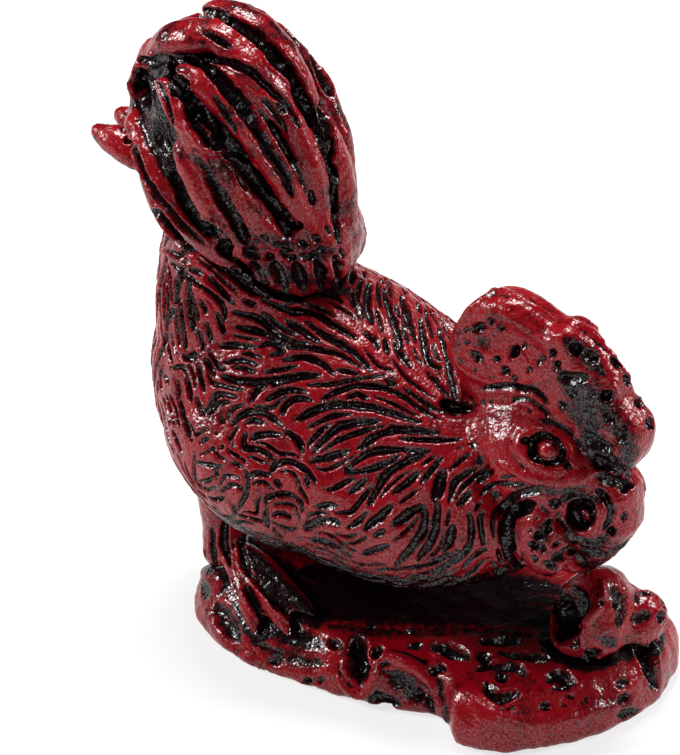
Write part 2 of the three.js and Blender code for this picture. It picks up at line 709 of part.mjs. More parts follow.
place("trunk", trunkSolid(0));
place("neck_cape", trim(neckSolid(0), [trunkGap, headGap]));
const eyeGaps = sides.flatMap(([, side]) => [eyeSolid(side, SEAM), eyeSocketSolid(side)]);
place("head", trim(headSolid(0), [trunkGap, ...eyeGaps]));
place("comb", trim(combSolid(0), [headGap, neckGap, trunkGap]));
const combGap = combSolid(SEAM);
const upperBeakGap = upperBeakSolid(SEAM);
const lowerBeakGap = lowerBeakSolid(SEAM);
const nostrils = sides.map(([, side]) => nostrilSolid(side));
place("lower_beak", trim(lowerBeakSolid(0), [headGap, neckGap]));
place("upper_beak", trim(upperBeakSolid(0), [headGap, neckGap, combGap, lowerBeakGap, ...nostrils]));
for (const [name, side] of sides) {
  place(`eye_${name}`, eyeSolid(side, 0));
  place(`wattle_${name}`, trim(wattleSolid(side, 0), [headGap, neckGap, upperBeakGap, lowerBeakGap, trunkGap]));
  place(`wing_${name}`, trim(wingSolid(side, 0), [trunkGap, neckGap]));
}

const tailGap = tailCoreSolid(SEAM);
const rootGap = tailRootSolid(SEAM);
const saddleGap = saddleSolid(SEAM);
place("tail_core", trim(tailCoreSolid(0), [trunkGap]));
place("tail_root", trim(tailRootSolid(0), [trunkGap, tailGap]));
place("saddle", trim(saddleSolid(0), [trunkGap, tailGap, rootGap]));
place("tail_feather_middle", trim(featherSolid(MIDDLE_FEATHER, 0, 0), [tailGap, trunkGap, saddleGap, rootGap]));
for (const [name, side] of sides) {
  const beside = [tailGap, trunkGap, saddleGap, rootGap, featherSolid(MIDDLE_FEATHER, 0, SEAM)];
  [...TOP_FEATHERS[name], ...SIDE_FEATHERS].forEach((feather, index) => {
    const half = featherSolid(feather, side, 0).intersect(sideSpace(side));
    place(`tail_feather_${name}_${index + 1}`, trim(half, beside));
    beside.push(featherSolid(feather, side, SEAM));
  });
}

const plinthGap = plinthSolid(SEAM);
for (const [name, side] of sides) {
  const leg = trim(legSolid(side, 0), [trunkGap, plinthGap]);
  place(`leg_${name}`, leg);
  place(`foot_${name}`, trim(footSolid(side), [plinthGap, legSolid(side, SEAM), trunkGap]));
}

// The origin is on the ground, under the middle of the whole figure.
const extent = new THREE.Box3().setFromObject(figure);
const middle = extent.getCenter(new THREE.Vector3());
figure.children.forEach((piece) => piece.position.set(-middle.x, -middle.y, -extent.min.z));

export default figure;
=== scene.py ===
"""Rooster figurine: a carved red casting with a black wash in its hollows, on a rock plinth.

The forms of the frame are fused into a few castings: the bird, its eyes, its tail, the plinth and the stone.
Each skin is softened, hand tool strokes and pits are carved into it, and the wash gathers in the strokes and
in the seams; the undersides get painted shade together with the wash. A casting of several forms is then cut
into one piece for each of them.
"""

import logging
import math
from dataclasses import dataclass, field
from enum import Enum
from typing import Any, Iterable, Sequence

import bmesh
import bpy
import numpy as np
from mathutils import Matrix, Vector
from mathutils.bvhtree import BVHTree

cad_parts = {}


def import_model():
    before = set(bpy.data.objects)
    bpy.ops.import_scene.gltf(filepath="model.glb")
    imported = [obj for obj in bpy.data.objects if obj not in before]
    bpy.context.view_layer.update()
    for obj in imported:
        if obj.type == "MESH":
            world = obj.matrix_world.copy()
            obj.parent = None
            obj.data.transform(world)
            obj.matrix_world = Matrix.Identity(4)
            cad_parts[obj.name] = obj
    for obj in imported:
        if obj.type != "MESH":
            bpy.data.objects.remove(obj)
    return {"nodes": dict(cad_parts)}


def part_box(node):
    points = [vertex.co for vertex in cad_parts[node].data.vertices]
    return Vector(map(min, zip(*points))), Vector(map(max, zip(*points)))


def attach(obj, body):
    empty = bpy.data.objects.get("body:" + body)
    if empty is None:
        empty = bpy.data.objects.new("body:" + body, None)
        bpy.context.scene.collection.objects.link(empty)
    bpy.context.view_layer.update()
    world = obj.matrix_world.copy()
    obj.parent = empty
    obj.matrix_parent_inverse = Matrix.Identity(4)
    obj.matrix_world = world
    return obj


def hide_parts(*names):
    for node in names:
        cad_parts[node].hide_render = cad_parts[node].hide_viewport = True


LOG = logging.getLogger("rooster")

MM = 0.001
MOST_TRIANGLES = 190_000
IMAGE_WIDTH = 680
IMAGE_HEIGHT = 755
BODY = "root"
TINY = 1e-9
SHARP_ANGLE = math.radians(70)
SAME_PLACE = 0.4 * MM
MERGE_REACH = 0.002 * MM
CUTTER_GROWTH = 0.45 * MM
CUTTER_VOXEL = 0.3 * MM
AIM_FROM_PLINTH = 9.7 * MM
AIM_HEIGHT = 19.9 * MM

Pixel = tuple[float, float]


class Side(Enum):
    """The rooster's two sides, as the names of pieces have them."""

    RIGHT = "right"
    LEFT = "left"


@dataclass(frozen=True)
class Sight:
    """The photograph's viewpoint: where the camera stands and what a pixel looks along."""

    target: tuple[float, float, float]
    azimuth: float = 35.0
    elevation: float = 33.0
    distance: float = 330 * MM
    pixels_per_metre: float = 13500.0
    sensor: float = 36.0

    def back(self) -> Vector:
        """The unit direction from the target to the camera.

        Returns:
            The direction.
        """
        turn = math.radians(self.azimuth)
        rise = math.radians(self.elevation)
        return Vector((math.sin(turn) * math.cos(rise), -math.cos(turn) * math.cos(rise), math.sin(rise)))

    def right(self) -> Vector:
        """The unit direction to the right in the picture."""
        turn = math.radians(self.azimuth)
        return Vector((math.cos(turn), math.sin(turn), 0.0))

    def eye(self) -> Vector:
        """The camera's place."""
        return Vector(self.target) + self.back() * self.distance

    def ray(self, pixel: Pixel) -> Vector:
        """The direction that a pixel looks along.

        Args:
            pixel: Column and row in the image of 680 by 755.

        Returns:
            The unit direction from the camera.
        """
        reach = self.pixels_per_metre * self.distance
        up = self.back().cross(self.right())
        aside = self.right() * (pixel[0] - IMAGE_WIDTH / 2)
        return (aside - up * (pixel[1] - IMAGE_HEIGHT / 2) - self.back() * reach).normalized()

    def camera(self) -> bpy.types.Object:
        """Makes the scene's camera at this viewpoint.

        Returns:
            The camera object.
        """
        data = bpy.data.cameras.new("photo_camera")
        data.sensor_width = self.sensor
        data.lens = self.sensor * self.pixels_per_metre * self.distance / max(IMAGE_WIDTH, IMAGE_HEIGHT)
        data.clip_start = 10 * MM
        camera = bpy.data.objects.new("photo_camera", data)
        camera.location = self.eye()
        camera.rotation_euler = self.back().to_track_quat("Z", "Y").to_euler()
        bpy.context.collection.objects.link(camera)
        bpy.context.scene.camera = camera
        return camera


def added(
    tree: bpy.types.NodeTree, kind: str, inputs: dict[str | int, Any], **settings: Any
) -> bpy.types.Node:
    """Adds a node to a tree.

    Args:
        tree: The tree of a material, a world or a modifier.
        kind: The node's type.
        inputs: A socket to link or a value to set, for each named or numbered input.
        **settings: The node's own options.

    Returns:
        The new node.
    """
    node = tree.nodes.new(kind)
    for option, value in settings.items():
        setattr(node, option, value)
    for key, value in inputs.items():
        if isinstance(value, bpy.types.NodeSocket):
            tree.links.new(value, node.inputs[key])
        else:
            node.inputs[key].default_value = value
    return node


class NodeSheet:
    """A Geometry Nodes tree that is drawn node by node."""

    def __init__(self, name: str) -> None:
        """Starts a tree with a Geometry input and output.

        Args:
            name: The tree's name.
        """
        self.tree = bpy.data.node_groups.new(name, "GeometryNodeTree")
        self.tree.interface.new_socket("Geometry", in_out="INPUT", socket_type="NodeSocketGeometry")
        self.tree.interface.new_socket("Geometry", in_out="OUTPUT", socket_type="NodeSocketGeometry")
        self.entry = self.tree.nodes.new("NodeGroupInput")
        self.exit = self.tree.nodes.new("NodeGroupOutput")

    def size(self, name: str, kind: str) -> bpy.types.NodeSocket:
        """Adds a named input to the tree.

        Args:
            name: The input's name.
            kind: The socket type, such as NodeSocketFloat.

        Returns:
            The socket that gives the input's value inside the tree.
        """
        self.tree.interface.new_socket(name, in_out="INPUT", socket_type=kind)
        return self.entry.outputs[name]

    def node(self, kind: str, inputs: dict[str | int, Any], **settings: Any) -> bpy.types.Node:
        """Adds a node with its inputs and options."""
        return added(self.tree, kind, inputs, **settings)

    def math(self, operation: str, *values: Any) -> bpy.types.NodeSocket:
        """Adds a Math node and gives its result."""
        return self.node("ShaderNodeMath", dict(enumerate(values)), operation=operation).outputs[0]

    def ramp(self, value: Any, low: Any, high: Any, start: Any, end: Any) -> bpy.types.NodeSocket:
        """Adds a soft step from start, at low, to end, at high, and gives its result."""
        inputs = {0: value, 1: low, 2: high, 3: start, 4: end}
        return self.node("ShaderNodeMapRange", inputs, interpolation_type="SMOOTHSTEP").outputs[0]

    def attribute(self, name: str) -> bpy.types.NodeSocket:
        """Reads a named number of the geometry."""
        return self.node("GeometryNodeInputNamedAttribute", {"Name": name}, data_type="FLOAT").outputs[0]

    def noise(self, scale: float, detail: float) -> bpy.types.NodeSocket:
        """Adds solid noise on the position.

        Args:
            scale: Its waves per metre.
            detail: How many finer layers it has.

        Returns:
            A socket from 0 to 1.
        """
        place = self.node("GeometryNodeInputPosition", {}).outputs[0]
        inputs = {"Vector": place, "Scale": scale, "Detail": detail}
        return self.node("ShaderNodeTexNoise", inputs, noise_dimensions="3D").outputs[0]

    def lifted(self, geometry: bpy.types.NodeSocket, height: bpy.types.NodeSocket) -> bpy.types.NodeSocket:
        """Moves the geometry along its normals.

        Args:
            geometry: What is moved.
            height: How far each point goes out.

        Returns:
            The moved geometry.
        """
        normal = self.node("GeometryNodeInputNormal", {}).outputs[0]
        offset = self.node("ShaderNodeVectorMath", {0: normal, "Scale": height}, operation="SCALE").outputs[0]
        return self.node("GeometryNodeSetPosition", {"Geometry": geometry, "Offset": offset}).outputs[0]

    def stored(self, geometry: bpy.types.NodeSocket, wash: bpy.types.NodeSocket) -> bpy.types.NodeSocket:
        """Keeps the black on the geometry's points, wash and painted shade, as the patina attribute.

        Args:
            geometry: What is washed.
            wash: How much each point gets.

        Returns:
            The washed geometry.
        """
        inputs = {"Geometry": geometry, "Name": "patina", "Value": wash}
        kept = self.node("GeometryNodeStoreNamedAttribute", inputs, data_type="FLOAT", domain="POINT")
        return kept.outputs[0]

    def hollow(self, rounds: int) -> bpy.types.NodeSocket:
        """Tells how far each point lies below its surroundings.

        Args:
            rounds: How many rounds of neighbours count.

        Returns:
            The depth in metres.
        """
        place = self.node("GeometryNodeInputPosition", {}).outputs[0]
        inputs = {"Value": place, "Iterations": rounds}
        mean = self.node("GeometryNodeBlurAttribute", inputs, data_type="FLOAT_VECTOR").outputs[0]
        above = self.node("ShaderNodeVectorMath", {0: mean, 1: place}, operation="SUBTRACT").outputs[0]
        normal = self.node("GeometryNodeInputNormal", {}).outputs[0]
        along = self.node("ShaderNodeVectorMath", {0: above, 1: normal}, operation="DOT_PRODUCT")
        return along.outputs["Value"]

    def finished(self, geometry: bpy.types.NodeSocket, finish: bpy.types.NodeSocket) -> None:
        """Ends the tree with smooth shading, real geometry and the finish.

        Args:
            geometry: The last geometry.
            finish: The input that holds the material.
        """
        smooth = self.node("GeometryNodeSetShadeSmooth", {"Geometry": geometry}).outputs[0]
        real = self.node("GeometryNodeRealizeInstances", {"Geometry": smooth}).outputs[0]
        self.close(self.node("GeometryNodeSetMaterial", {"Geometry": real, "Material": finish}).outputs[0])

    def close(self, geometry: bpy.types.NodeSocket) -> None:
        """Joins the last geometry to the tree's output."""
        self.tree.links.new(geometry, self.exit.inputs[0])

    def run(self, piece: bpy.types.Object, values: dict[str, Any]) -> bpy.types.Mesh:
        """Runs the tree on an object and leaves the object with no modifier.

        Args:
            piece: The object whose mesh goes in.
            values: A value for each named input.

        Returns:
            The result as a plain mesh.
        """
        modifier = piece.modifiers.new(self.tree.name, "NODES")
        modifier.node_group = self.tree
        for item in self.tree.interface.items_tree:
            if item.in_out == "INPUT" and item.name in values:
                modifier[item.identifier] = values[item.name]
        mesh = evaluated(piece)
        piece.modifiers.clear()
        return mesh


def evaluated(piece: bpy.types.Object) -> bpy.types.Mesh:
    """Gives an object's mesh with its modifiers applied.

    Args:
        piece: The object, which stays as it is.

    Returns:
        A new mesh.
    """
    bpy.context.view_layer.update()
    graph = bpy.context.evaluated_depsgraph_get()
    return bpy.data.meshes.new_from_object(piece.evaluated_get(graph))


def linked(name: str, mesh: bpy.types.Mesh) -> bpy.types.Object:
    """Makes an object of a mesh and links it to the scene.

    Args:
        name: The object's name.
        mesh: Its mesh.

    Returns:
        The object.
    """
    piece = bpy.data.objects.new(name, mesh)
    bpy.context.collection.objects.link(piece)
    return piece


def discard(*pieces: bpy.types.Object) -> None:
    """Removes working objects together with their meshes.

    Args:
        *pieces: The objects.
    """
    for piece in pieces:
        mesh = piece.data
        bpy.data.objects.remove(piece)
        bpy.data.meshes.remove(mesh)


@dataclass(frozen=True)
class ResinFinish:
    """Cast resin, coloured red through, black where the patina attribute says: a wash, and painted shade
    under the bird and on undersides.
    """

    name: str
    red: tuple[float, float, float] = (0.245, 0.001, 0.006)
    deep_red: tuple[float, float, float] = (0.13, 0.0005, 0.003)
    # The near-black of the wash, which also paints the shade on the undersides and under the bird
    wash: tuple[float, float, float] = (0.006, 0.0014, 0.0022)
    red_roughness: float = 0.27
    wash_roughness: float = 0.22
    red_shine: tuple[float, float] = (0.12, 0.72)
    wash_shine: tuple[float, float] = (0.05, 0.70)
    grain_scale: float = 4200.0
    grain_height: float = 0.045 * MM
    sparkle_scale: float = 6800.0
    sparkle_range: tuple[float, float] = (0.40, 0.66)
    mottle_scale: float = 2300.0
    mottle_share: float = 1.6
    cover_range: tuple[float, float] = (0.90, 1.62)
    cloud_scale: float = 260.0

    def material(self) -> bpy.types.Material:
        """Builds the finish as a node material.

        Returns:
            The material.
        """
        material = bpy.data.materials.new(self.name)
        material.use_nodes = True
        tree = material.node_tree
        tree.nodes.clear()
        place = added(tree, "ShaderNodeTexCoord", {}).outputs["Object"]
        patina = added(tree, "ShaderNodeAttribute", {}, attribute_name="patina").outputs["Fac"]
        cover = self.cover(tree, place, patina)
        inputs = {"Vector": place, "Scale": self.cloud_scale, "Detail": 4.0}
        cloud = added(tree, "ShaderNodeTexNoise", inputs).outputs["Fac"]
        inputs = {"Factor": cloud, "A": (*self.deep_red, 1.0), "B": (*self.red, 1.0)}
        reds = added(tree, "ShaderNodeMix", inputs, data_type="RGBA").outputs["Result"]
        inputs = {"Factor": cover, "A": reds, "B": (*self.wash, 1.0)}
        colour = added(tree, "ShaderNodeMix", inputs, data_type="RGBA").outputs["Result"]
        inputs = {0: cover, 3: self.red_roughness, 4: self.wash_roughness}
        gloss = added(tree, "ShaderNodeMapRange", inputs).outputs[0]
        inputs = {"Vector": place, "Scale": self.grain_scale, "Detail": 0.6}
        grain = added(tree, "ShaderNodeTexNoise", inputs).outputs["Fac"]
        inputs = {"Strength": 1.0, "Distance": self.grain_height, "Height": grain}
        bump = added(tree, "ShaderNodeBump", inputs).outputs["Normal"]
        inputs = {
            "Base Color": colour,
            "Roughness": gloss,
            "Specular IOR Level": self.shine(tree, place, cover),
            "Normal": bump,
        }
        resin = added(tree, "ShaderNodeBsdfPrincipled", inputs).outputs["BSDF"]
        added(tree, "ShaderNodeOutputMaterial", {"Surface": resin})
        return material

    def cover(
        self, tree: bpy.types.NodeTree, place: bpy.types.NodeSocket, patina: bpy.types.NodeSocket
    ) -> bpy.types.NodeSocket:
        """Adds the nodes that tell how far the black of the wash and the painted shade covers the red,
        mottled where there is only some of it.

        Args:
            tree: The material's tree.
            place: The place on the piece.
            patina: The wash and the painted shade that the mesh holds.

        Returns:
            A socket from 0 for bare red to 1 for black.
        """
        inputs = {"Vector": place, "Scale": self.mottle_scale, "Detail": 5.0, "Roughness": 0.65}
        mottle = added(tree, "ShaderNodeTexNoise", inputs).outputs["Fac"]
        inputs = {0: mottle, 1: self.mottle_share, 2: patina}
        spread = added(tree, "ShaderNodeMath", inputs, operation="MULTIPLY_ADD").outputs[0]
        inputs = {0: spread, 1: self.cover_range[0], 2: self.cover_range[1]}
        return added(tree, "ShaderNodeMapRange", inputs, interpolation_type="SMOOTHSTEP").outputs[0]

    def shine(
        self, tree: bpy.types.NodeTree, place: bpy.types.NodeSocket, cover: bpy.types.NodeSocket
    ) -> bpy.types.NodeSocket:
        """Adds the nodes that scatter bright spots over a duller gloss.

        Args:
            tree: The material's tree.
            place: The place on the piece.
            cover: How far the black of the wash and the painted shade covers the red.

        Returns:
            A socket with the level of the gloss.
        """
        inputs = {"Vector": place, "Scale": self.sparkle_scale, "Detail": 1.0}
        sparkle = added(tree, "ShaderNodeTexNoise", inputs).outputs["Fac"]
        levels = []
        for dull, bright in (self.red_shine, self.wash_shine):
            inputs = {0: sparkle, 1: self.sparkle_range[0], 2: self.sparkle_range[1], 3: dull, 4: bright}
            levels.append(added(tree, "ShaderNodeMapRange", inputs).outputs[0])
        inputs = {"Factor": cover, "A": levels[0], "B": levels[1]}
        return added(tree, "ShaderNodeMix", inputs).outputs["Result"]


@dataclass(frozen=True)
class Stroke:
    """One cut of the carver's tool, as the photograph's camera sees it.

    The width is the half width of the cut and the depth is how far it goes in, both in millimetres; a
    negative depth is a ridge. The ink is how much black it holds, from 0 for none to about 1 for full: wash,
    and on some wide strokes under the bird painted shade as well.
    """

    path: tuple[Pixel, ...]
    wide: float
    deep: float
    ink: float = 1.0


@dataclass
class StrokeBook:
    """The cuts on one skin, as points in space that are joined into lines."""

    points: list[Vector] = field(default_factory=list)
    joins: list[tuple[int, int]] = field(default_factory=list)
    widths: list[float] = field(default_factory=list)
    depths: list[float] = field(default_factory=list)
    inks: list[float] = field(default_factory=list)

    def add(self, path: Sequence[Vector], wide: float, deep: float, ink: float, taper: float) -> None:
        """Adds one line that narrows towards its ends.

        Args:
            path: The line's points, in metres.
            wide: Half width at the middle, in millimetres.
            deep: Depth at the middle, in millimetres.
            ink: How much black the line holds, which is wash and on some strokes painted shade.
            taper: The share of the width that is left at the ends.
        """
        first = len(self.points)
        last = max(len(path) - 1, 1)
        for index, point in enumerate(path):
            bulge = abs(math.sin(math.pi * index / last)) ** 0.6
            swell = taper + (1.0 - taper) * bulge if len(path) > 1 else 1.0
            self.points.append(Vector(point))
            self.widths.append(wide * swell * MM)
            self.depths.append(deep * swell * MM)
            self.inks.append(ink)
            if index:
                self.joins.append((first + index - 1, first + index))

    def object(self, name: str) -> bpy.types.Object:
        """Makes the working object that the carving reads.

        Args:
            name: The object's name.

        Returns:
            An object of points and edges with their widths, depths and inks.
        """
        # An empty book gives one stroke that is far below the floor
        points = self.points or [Vector((0.0, 0.0, -1.0)), Vector((0.0, 0.0, -1.1))]
        mesh = bpy.data.meshes.new(name)
        mesh.from_pydata([tuple(point) for point in points], self.joins or [(0, 1)], [])
        for label, values in (("wide", self.widths), ("deep", self.depths), ("ink", self.inks)):
            numbers = mesh.attributes.new(label, "FLOAT", "POINT")
            numbers.data.foreach_set("value", values or [1e-6] * len(points))
        return linked(name, mesh)


def smooth_path(path: Sequence[Pixel], count: int) -> list[Pixel]:
    """Draws a smooth curve through a few pixels.

    Args:
        path: The pixels that the curve goes through.
        count: How many points to give for each stretch between two of them.

    Returns:
        The points of the curve.
    """
    ends = [path[0], *path, path[-1]]
    points: list[Pixel] = []
    for index in range(1, len(ends) - 2):
        before, start, end, after = (np.array(ends[index + step], float) for step in (-1, 0, 1, 2))
        for step in range(count):
            share = step / count
            bend = 2 * start + share * (end - before)
            bend = bend + share**2 * (2 * before - 5 * start + 4 * end - after)
            bend = bend + share**3 * (3 * start - before - 3 * end + after)
            points.append(tuple(bend / 2))
    points.append(tuple(path[-1]))
    return points


@dataclass(frozen=True)
class Dabs:
    """Short cuts that are scattered over a skin; their sizes are in millimetres."""

    count: int
    wide: float
    deep: float
    long: float
    along: tuple[float, float, float]
    seed: int
    unseen: bool = False
    stray: float = 0.25
    sizes: tuple[float, float] = (0.6, 1.25)
    taper: float = 0.4


@dataclass(frozen=True)
class Infill:
    """Strokes that are added between the drawn ones; lengths, widths and depths are in millimetres."""

    tries: int = 5000
    apart: float = 0.56 * MM
    closest: float = 0.7
    margin: float = 1.3 * MM
    step: float = 0.25 * MM
    guides: int = 6
    guide_reach: float = 0.3 * MM
    half_lengths: tuple[float, float] = (1.2, 3.0)
    widths: tuple[float, float] = (0.13, 0.24)
    depths: tuple[float, float] = (0.24, 0.36)
    taper: float = 0.3
    least_points: int = 5
    seed: int = 17


@dataclass(frozen=True)
class CutProfile:
    """The section of a cut, in half widths from its middle, where the black wash lies, and which slopes of
    the undersides get painted shade.
    """

    groove: tuple[float, float] = (0.3, 1.0)
    groove_share: float = 0.8
    shoulder: tuple[float, float] = (0.6, 2.0)
    shoulder_share: float = 0.5
    lip_rise: tuple[float, float] = (0.9, 1.25)
    lip_fall: tuple[float, float] = (1.25, 1.8)
    lip_share: float = 0.55
    stain: tuple[float, float] = (0.6, 1.4)
    wobble: float = 1.1
    wobble_scale: float = 1300.0
    hammer_scale: float = 520.0
    rough_scale: float = 1700.0
    noise_detail: float = 3.0
    speck_scale: float = 420.0
    speck_detail: float = 4.0
    speck_range: tuple[float, float] = (0.42, 0.68)
    seam_wobble: float = 0.9
    seam_full: float = 0.45
    underside: tuple[float, float] = (-0.8, -0.15)
    fine_hollow: tuple[int, float, float] = (8, 0.012 * MM, 0.04 * MM)
    broad_hollow: tuple[int, float, float] = (50, 0.06 * MM, 0.2 * MM)


@dataclass
class Casting:
    """A skin that is fused from CAD nodes, then softened, pressed, carved and blackened with wash and painted
    shade.
    """

    name: str
    nodes: tuple[str, ...]
    voxel: float = 0.14 * MM
    grow: float = 0.16 * MM
    soften: int = 12
    hammer: float = 0.05 * MM
    rough: float = 0.18 * MM
    seam_reach: float = 0.55 * MM
    # How strongly the undersides are blackened: painted shade, laid on together with the wash
    underside_wash_and_shade: float = 0.6
    speckle: float = 0.42
    taper: float = 0.35
    path_steps: int = 7
    blackened: tuple[str, ...] = ()
    book: StrokeBook = field(default_factory=StrokeBook)
    skin: bpy.types.Object | None = None
    tree: BVHTree | None = None

    def fuse(self) -> None:
        """Makes the skin: the nodes grown into each other, fused and softened."""
        fused = remeshed(self.name + "_fused", self.nodes, self.grow, self.voxel)
        self.skin = linked(self.name + "_skin", SOFTEN.run(fused, {"Rounds": self.soften, "Sink": self.grow}))
        discard(fused)
        self.feel()

    def feel(self) -> None:
        """Takes the skin's present shape as what rays and strokes land on."""
        bpy.context.view_layer.update()
        self.tree = BVHTree.FromObject(self.skin, bpy.context.evaluated_depsgraph_get())

    def seen(self, pixel: Pixel) -> Vector | None:
        """Gives the place on the skin that a pixel of the photograph shows, or nothing."""
        return self.tree.ray_cast(SIGHT.eye(), SIGHT.ray(pixel))[0]

    def hidden(self, point: Vector) -> bool:
        """Tells whether a point of the skin is out of the photograph's sight."""
        hit = self.tree.ray_cast(SIGHT.eye(), (point - SIGHT.eye()).normalized())[0]
        return hit is None or (hit - point).length > SAME_PLACE

    def lay(self, stroke: Stroke, mirrored: bool, book: StrokeBook, gain: float) -> None:
        """Lays a stroke on the skin, and its mirror image where the photograph doesn't see.

        Args:
            stroke: The stroke as the camera sees it.
            mirrored: Whether the other side gets it too.
            book: Where the stroke is noted.
            gain: How much wider it is laid than it is drawn.
        """
        path = [self.seen(pixel) for pixel in smooth_path(stroke.path, self.path_steps)]
        path = [point for point in path if point is not None]
        wide = stroke.wide * gain
        if path:
            book.add(path, wide, stroke.deep, stroke.ink, self.taper)
        if mirrored:
            other = [self.tree.find_nearest(Vector((p.x, -p.y, p.z)))[0] for p in path if p.y < 0]
            other = [point for point in other if self.hidden(point)]
            if len(other) > 1:
                book.add(other, wide, stroke.deep, stroke.ink, self.taper)

    def cut(self, strokes: Iterable[Stroke], mirrored: bool, gain: float = 1.0) -> None:
        """Notes strokes for the carving.

        Args:
            strokes: The strokes as the camera sees them.
            mirrored: Whether the other side gets them too.
            gain: How much wider they are cut than they are drawn.
        """
        for stroke in strokes:
            self.lay(stroke, mirrored, self.book, gain)

    def press(self, strokes: Iterable[Stroke], mirrored: bool) -> None:
        """Presses broad hollows into the skin, or raises ridges where the depth is negative.

        Args:
            strokes: The strokes as the camera sees them.
            mirrored: Whether the other side gets them too.
        """
        for stroke in strokes:
            book = StrokeBook()
            self.lay(stroke, mirrored, book, 1.0)
            lines = book.object(self.name + "_press")
            pressed = linked(self.name + "_skin", PRESS.run(self.skin, {"Strokes": lines}))
            discard(self.skin, lines)
            self.skin = pressed
        self.feel()

    def dab(self, dabs: Dabs) -> None:
        """Scatters short cuts over the skin.

        Args:
            dabs: How many there are, and their sizes.
        """
        rng = np.random.default_rng(dabs.seed)
        along = Vector(dabs.along)
        steps = (-0.5, -0.25, 0, 0.25, 0.5)
        faces = self.skin.data.polygons
        for index in rng.integers(0, len(faces), dabs.count):
            face = faces[int(index)]
            if dabs.unseen and not self.hidden(face.center):
                continue
            run = along - face.normal * along.dot(face.normal)
            run = run + Vector(rng.normal(0, dabs.stray, 3))
            size = rng.uniform(*dabs.sizes)
            reach = run.normalized() * dabs.long * size * MM
            path = [self.tree.find_nearest(face.center + reach * step)[0] for step in steps]
            self.book.add(path, dabs.wide * size, dabs.deep * size, 1.0, dabs.taper)

    def fill(self, plain: Sequence[str], infill: Infill) -> None:
        """Adds strokes where the plumage is still bare, along the way that the strokes beside it run.

        Args:
            plain: The nodes that stay without such strokes.
            infill: How many tries there are, and the sizes of the strokes.
        """
        rng = np.random.default_rng(infill.seed)
        keep_off = gathered(self.name + "_plain", plain, 0.0)
        bpy.context.view_layer.update()
        margin = BVHTree.FromObject(keep_off, bpy.context.evaluated_depsgraph_get())
        heads = np.array([self.book.points[join[0]] for join in self.book.joins])
        tails = np.array([self.book.points[join[1]] for join in self.book.joins])
        flow = (tails - heads) / (np.linalg.norm(tails - heads, axis=1, keepdims=True) + TINY)
        taken = np.array(self.book.points)
        for index in rng.permutation(len(self.skin.data.vertices))[: infill.tries]:
            start = self.skin.data.vertices[int(index)].co.copy()
            free = float(np.min(np.linalg.norm(taken - np.array(start), axis=1)))
            if free < infill.apart or margin.find_nearest(start)[3] < infill.margin:
                continue
            half = rng.uniform(*infill.half_lengths) * MM
            ends = [self.follow(start, sign * half, heads, flow, taken, infill) for sign in (-1, 1)]
            path = ends[0][::-1] + [start] + ends[1]
            if len(path) < infill.least_points:
                continue
            wide = rng.uniform(*infill.widths)
            self.book.add(path, wide, rng.uniform(*infill.depths), 1.0, infill.taper)
            taken = np.vstack((taken, np.array(path)))
        discard(keep_off)

    def follow(
        self,
        start: Vector,
        reach: float,
        heads: np.ndarray,
        flow: np.ndarray,
        taken: np.ndarray,
        infill: Infill,
    ) -> list[Vector]:
        """Walks over the skin the way that the nearest strokes run.

        Args:
            start: Where the walk begins.
            reach: How far it goes, and on which side of the start.
            heads: Where the known strokes run.
            flow: Which way they run there.
            taken: The points of every stroke so far.
            infill: How far the walk keeps from them, and its steps.

        Returns:
            The points of the walk after the start.
        """
        step = math.copysign(infill.step, reach)
        place = start
        way = np.zeros(3)
        path: list[Vector] = []
        for _ in range(int(abs(reach / step))):
            away = np.linalg.norm(heads - np.array(place), axis=1)
            near = np.argpartition(away, infill.guides)[: infill.guides]
            sense = way if way.any() else flow[np.argmin(away)]
            turned = flow[near] * np.sign(flow[near] @ sense + TINY)[:, None]
            way = (turned / (away[near, None] + infill.guide_reach) ** 2).sum(axis=0)
            way = way / (np.linalg.norm(way) + TINY)
            place = self.tree.find_nearest(place + Vector(way) * step)[0]
            free = float(np.min(np.linalg.norm(taken - np.array(place), axis=1)))
            if free < infill.apart * infill.closest:
                break
            path.append(place)
        return path

    def carve(self, material: bpy.types.Material) -> bpy.types.Object:
        """Carves the strokes and lays the wash, with painted shade on the undersides.

        Args:
            material: The finish.

        Returns:
            The carved casting.
        """
        others = [node for node in FRAME["nodes"] if node not in self.nodes or node in self.blackened]
        near = gathered(self.name + "_near", others, 0.0)
        lines = self.book.object(self.name + "_strokes")
        values = {
            "Strokes": lines,
            "Neighbours": near,
            "Hammer": self.hammer,
            "Rough": self.rough,
            "Seam reach": self.seam_reach,
            "Underside wash and shade": self.underside_wash_and_shade,
            "Speckle": self.speckle,
            "Finish": material,
        }
        mesh = CARVE.run(self.skin, values)
        discard(near, lines, self.skin)
        return linked(self.name + "_carved", mesh)

    def part_out(self, whole: bpy.types.Object, order: Sequence[str], material: bpy.types.Material) -> None:
        """Cuts the whole casting into one closed piece for each node.

        Args:
            whole: The carved casting.
            order: The nodes in the order in which they are cut off; the last one is what is left.
            material: The finish.
        """
        rest = linked(self.name + "_rest", whole.data.copy())
        for node in order[:-1]:
            cutter = remeshed(node + "_cutter", (node,), CUTTER_GROWTH, CUTTER_VOXEL)
            part = linked(node + "_part", divided(rest, cutter, "INTERSECT"))
            left = linked(self.name + "_rest", divided(rest, cutter, "DIFFERENCE"))
            discard(rest, cutter)
            rest = left
            self.hand_over(part, whole, node, material)
        self.hand_over(rest, whole, order[-1], material)
        discard(whole)

